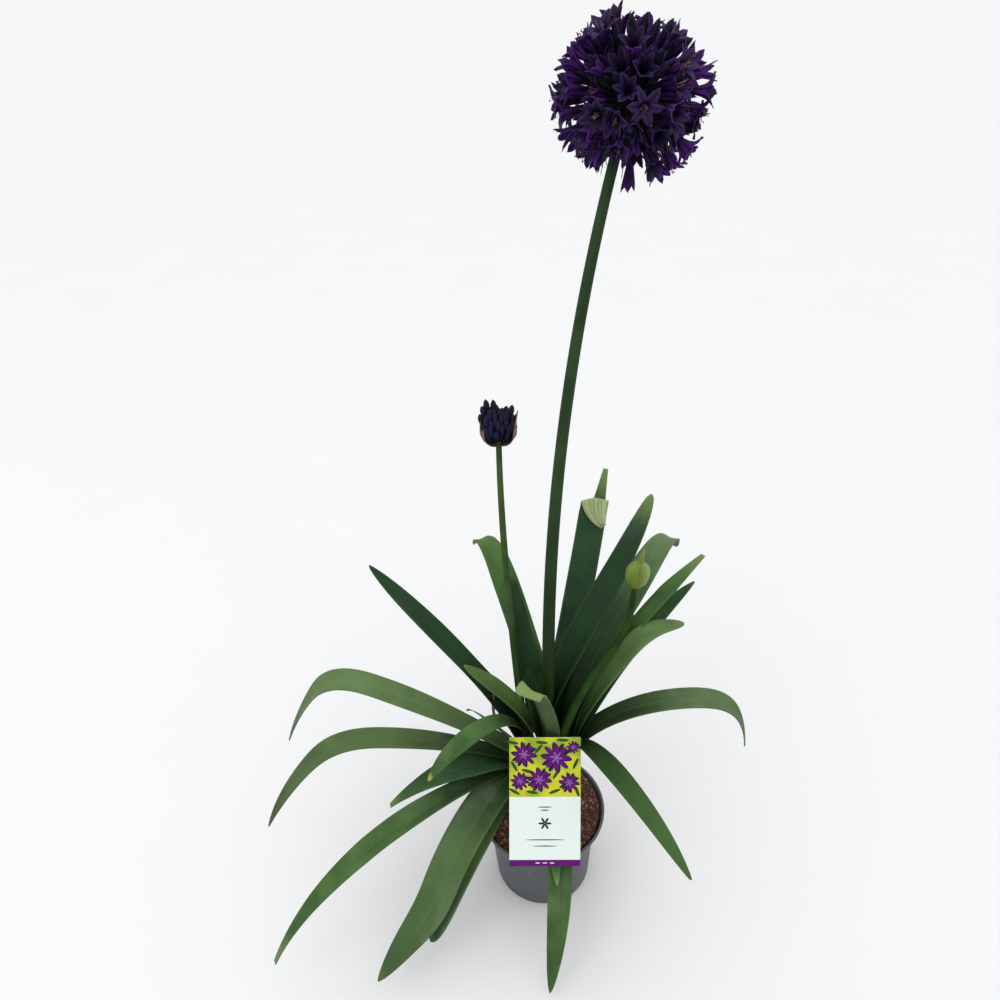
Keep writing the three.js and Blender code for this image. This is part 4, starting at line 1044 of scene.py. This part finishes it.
def shut_bud(u, v):
    last = len(SHUT_BUD_PROFILE) - 1
    step, done = step_at(v, last)
    share = mixed(SHUT_BUD_PROFILE[step][0], SHUT_BUD_PROFILE[step + 1][0], done)
    before, low, high, after = (SHUT_BUD_PROFILE[min(max(step + k, 0), last)][1] for k in (-1, 0, 1, 2))
    # A smooth curve through the four radii about the place.
    fat = 0.5 * (2 * low + (high - before) * done + (2 * before - 5 * low + 4 * high - after) * done ** 2
                 + (3 * low - before - 3 * high + after) * done ** 3)
    turn = -tau * u
    radius = fat * SHUT_BUD_RADIUS * (1 + 0.018 * cos(9 * turn))
    centre = shut_end.point + shut_end.forward * share * SHUT_BUD_LENGTH
    centre += rightwards * BEAK_LEAN * max(0.0, share - 0.5)
    ring = rightwards * cos(turn) + backwards * sin(turn) * SHUT_BUD_DEPTH_SHARE
    return centre + ring * radius


shut_green = Finish("shut_bud_green", 0.5, 0.25, srgb(78, 98, 24))
shut_green.unroll()
vein = shut_green.streaks(13.0, 0.5, 3)
shut_green.paint(srgb(106, 128, 48), vein, 0.3, 0.7, 0.7)
shut_green.paint(srgb(90, 98, 26), shut_green.noise(40, 2), 0.45, 0.65, 0.6)
shut_green.paint(srgb(126, 142, 80), shut_green.u, 0.26, 0.1, 0.7)
seam = shut_green.span(shut_green.off(shut_green.u, SEAM_AT), 0.04, 0.0, 0.0, 0.8)
shut_green.lay(srgb(62, 80, 30), shut_green.times(seam, shut_green.span(shut_green.v, 0.2, 0.6)))
shut_green.paint(srgb(82, 106, 40), shut_green.v, 0.5, 0.7, 0.6)
shut_green.paint(srgb(126, 112, 76), shut_green.v, 0.8, 0.95, 0.8)
shut_green.bump(vein, 0.0006, 0.5)
bm = bmesh.new()
sheet(bm, 40, 56, shut_bud, wrapped=True)
close_ends(bm)
fit(as_piece("shut_bud", bm, [shut_green], 70), "closed_bud", "closed_bud")


# ------------------------ plant label
# A glossy plastic card leaning on the rim, printed with a bright panel and a dark foot band of a
# plain design of its own, and carried by a narrow tongue from its back that is pushed into the mix.

CARD_WIDTH, CARD_HEIGHT, CARD_THICKNESS, CARD_CORNER = 88.8, 164.4, 0.9, 1.2
CARD_FOOT, CARD_LEAN, CARD_TILT = (-3.3, -97.3, 146.7), 60, -2.7
BAND_TOP, PANEL_TOP = 8.2, 89
INK_RISE, INK_LAYER = 0.12, 0.05
# The tongue leaves the card's back here, and goes on backwards and down into the mix.
TONGUE_TOP = (-12, 24, 0)
TONGUE_ROUTE = [(-78.5, 142), (-76, 131), (-73, 118), (-64, 98), (-62, 93)]
TONGUE_HALF = 7.5
WHITE, MINT, PLUM, LIME, LEAFY, LILAC, NIGHT = range(7)
CARD_INKS = {
    "card_white": (srgb(212, 215, 213), srgb(208, 212, 210)),
    "card_mint": (srgb(201, 212, 207), srgb(197, 209, 203)),
    "card_plum": (srgb(86, 10, 98), srgb(76, 8, 88)),
    "card_dark_green": (srgb(34, 62, 26), srgb(52, 90, 30)),
    "card_lilac": (srgb(126, 84, 150), srgb(96, 50, 124)),
    "card_night": (srgb(30, 24, 48), srgb(44, 32, 66)),
}
# The design, from the middle of the card's foot: leaves (x, y, turn), flowers (x, y, size), and rules
# (x, y, length) on the pale panel.
PRINTED_LEAVES = [
    (-38, 128, 30), (-8, 150, -40), (38, 131, -25), (14, 118, -35), (-38, 96, 60), (12, 96, -70),
    (-22, 122, 75), (-40, 158, 80), (-4, 158, 85), (22, 161, 88), (40, 96, 20), (-16, 95, 80),
]
PRINTED_FLOWERS = [
    (-26, 143, 16), (14, 139, 19), (-7, 111, 15.5), (30, 107, 13), (-31, 109, 11.5), (35, 152, 8),
]
PRINTED_RULES = [(0, 76, 18), (0, 72, 11), (0, 34, 50), (0, 26, 30)]


def print_finish(name, colour, other):
    """Printed plastic: even ink with a faint dither."""
    ink = Finish(name, 0.3, 0.12, colour)
    ink.paint(other, ink.noise(1900, 2), 0.35, 0.7, 0.5)
    ink.roughen(ink.noise(40, 2), 0.3, 0.7, 0.24, 0.36)
    return ink


def petal_print(x, y, length, width, turn, ink, layer=0):
    """One flat leaf-shaped mark of ink, laid on the card's face."""
    spot = placed((x, y, CARD_THICKNESS / 2 + INK_RISE + INK_LAYER * layer))
    made = bmesh.ops.create_circle(bm, cap_ends=True, segments=14, radius=0.5, matrix=(
        spot @ Matrix.Rotation(radians(turn), 4, "Z") @ sized(width, length, 1)))["verts"]
    for face in faces_of(made):
        face.material_index = ink
        if face.normal.z < 0:
            face.normal_flip()


def rosette(x, y, size, petals, first, ink, layer):
    for petal in range(petals):
        turn = first + 360 * petal / petals
        spot = Vector((x, y, 0)) + aimed(radians(turn + 90)) * size * 0.55
        petal_print(spot.x, spot.y, size, size * 0.34, turn, ink, layer)


inks = [print_finish(name, *shades) for name, shades in CARD_INKS.items()]
inks.insert(LIME, clouded("card_lime", 0.3, 0.3, 30, 3, 0.1, srgb(128, 146, 22), srgb(180, 180, 30)))
bm = bmesh.new()
bmesh.ops.create_grid(bm, x_segments=1, y_segments=1, size=0.5)
bmesh.ops.transform(bm, verts=bm.verts,
                    matrix=placed((0, CARD_HEIGHT / 2, 0)) @ sized(CARD_WIDTH, CARD_HEIGHT, 1))
bmesh.ops.bevel(bm, geom=bm.verts[:], offset=CARD_CORNER * MM, offset_type="OFFSET", segments=5,
                profile=0.5, affect="VERTICES", material=-1)
for height in (BAND_TOP, PANEL_TOP):
    bmesh.ops.bisect_plane(bm, geom=bm.verts[:] + bm.edges[:] + bm.faces[:], plane_co=(0, height * MM, 0),
                           plane_no=(0, 1, 0))
for face in bm.faces:
    height = face.calc_center_median().y / MM
    face.material_index = LIME if height > PANEL_TOP else MINT if height > BAND_TOP else PLUM
bmesh.ops.solidify(bm, geom=bm.faces[:], thickness=CARD_THICKNESS * MM)
for face in bm.faces:
    if abs(face.calc_center_median().z) > 0.01 * MM:
        face.material_index = WHITE
bmesh.ops.recalc_face_normals(bm, faces=bm.faces)
face_height = max(vert.co.z for vert in bm.verts)
bmesh.ops.translate(bm, verts=bm.verts, vec=(0, 0, CARD_THICKNESS / 2 * MM - face_height))

for x, y, turn in PRINTED_LEAVES:
    petal_print(x, y, 15, 4, turn, LEAFY)
for x, y, size in PRINTED_FLOWERS:
    rosette(x, y, size, 10, 10, NIGHT, 1)
    rosette(x, y, size * 0.9, 8, 0, PLUM, 2)
    rosette(x, y, size * 0.4, 6, 20, LILAC, 3)
for x, y, length in PRINTED_RULES:
    petal_print(x, y, length, 1.3, 90, NIGHT)
rosette(0, 55, 8, 6, 30, NIGHT, 0)
for x in (-9, 0, 9):
    petal_print(x, BAND_TOP - 4, 6, 1.2, 90, WHITE)
card_frame = (placed(CARD_FOOT) @ Matrix.Rotation(radians(CARD_LEAN), 4, "X")
              @ Matrix.Rotation(radians(CARD_TILT), 4, "Z"))
bmesh.ops.transform(bm, verts=bm.verts, matrix=card_frame)
fit(as_piece("plant_label", bm, inks, 20), "label_card", "label")

tongue_top = card_frame @ (Vector(TONGUE_TOP) * MM) / MM
route = [tongue_top] + [Vector((tongue_top.x, y, z)) for y, z in TONGUE_ROUTE]


def tongue(u, v):
    step, done = step_at(v, len(route) - 1)
    half = TONGUE_HALF * mixed(1, 0.3, eased((v - 0.65) / 0.35))
    return route[step].lerp(route[step + 1], done) + Vector((half * (2 * u - 1), 0, 0))


fit(sheet_piece("label_tongue", 6, 40, tongue, [inks[WHITE]], CARD_THICKNESS), "label_card", "label")


# ------------------------ floor, light and camera
# The pot stands on a plain pale floor under soft studio light, seen from in front and above.

FLOOR_HALF, FLOOR_HEIGHT = 150, -0.4
LAMP_PLACE, LAMP_TARGET, LAMP_SIZE, LAMP_POWER = Vector((-1.5, -1.5, 2.8)), Vector((0, 0, 0.35)), 1.4, 12
# Strength of the white tent near the horizon and overhead, and the heights where those are reached.
TENT_GLOW, TENT_HEIGHTS = (0.93, 1.9), (0.05, 0.9)
# How far the camera looks down and how far it is rolled, its place and its focal length.
PITCH, ROLL = radians(33.36), radians(-2.82)
CAMERA_PLACE, LENS = (-36.8, -628.5, 1047.8), 27

pale = Finish("pale_floor", 0.9, 0.0, srgb(197, 198, 199))
pale.lay(srgb(199, 200, 201), pale.noise(3, 2))
bm = bmesh.new()
bmesh.ops.create_grid(bm, x_segments=2, y_segments=2, size=FLOOR_HALF, matrix=placed((0, 0, FLOOR_HEIGHT)))
floor = as_piece("floor", bm, [pale])

world = bpy.data.worlds.new("studio")
bpy.context.scene.world = world
world.use_nodes = True
tent = world.node_tree
direction = tent.nodes.new("ShaderNodeTexCoord")
height = tent.nodes.new("ShaderNodeSeparateXYZ")
glow = tent.nodes.new("ShaderNodeMapRange")
for socket, value in zip(("From Min", "From Max", "To Min", "To Max"), TENT_HEIGHTS + TENT_GLOW):
    glow.inputs[socket].default_value = value
tent.links.new(direction.outputs["Generated"], height.inputs[0])
tent.links.new(height.outputs["Z"], glow.inputs["Value"])
tent.links.new(glow.outputs[0], tent.nodes["Background"].inputs["Strength"])
tent.nodes["Background"].inputs["Color"].default_value = (1.0, 1.0, 1.0, 1.0)

lamp = bpy.data.lights.new("key_softbox", "AREA")
lamp.shape, lamp.size, lamp.energy = "DISK", LAMP_SIZE, LAMP_POWER
holder = bpy.data.objects.new("key_softbox", lamp)
bpy.context.scene.collection.objects.link(holder)
holder.location = LAMP_PLACE
holder.rotation_euler = (LAMP_TARGET - LAMP_PLACE).to_track_quat("-Z", "Y").to_euler()

ahead = Vector((0, cos(PITCH), -sin(PITCH)))
down = Vector((0, -sin(PITCH), -cos(PITCH)))
level = Vector((1, 0, 0))
camera_right = level * cos(ROLL) - down * sin(ROLL)
camera_up = -(level * sin(ROLL) + down * cos(ROLL))
lens = bpy.data.cameras.new("camera")
lens.lens, lens.sensor_width, lens.sensor_fit = LENS, 36, "HORIZONTAL"
lens.clip_start, lens.clip_end = 0.05, 500
camera = bpy.data.objects.new("camera", lens)
bpy.context.scene.collection.objects.link(camera)
view = Matrix((camera_right, camera_up, -ahead)).transposed().to_4x4()
camera.matrix_world = placed(CAMERA_PLACE) @ view
bpy.context.scene.camera = camera
bpy.context.scene.view_settings.view_transform = "Standard"
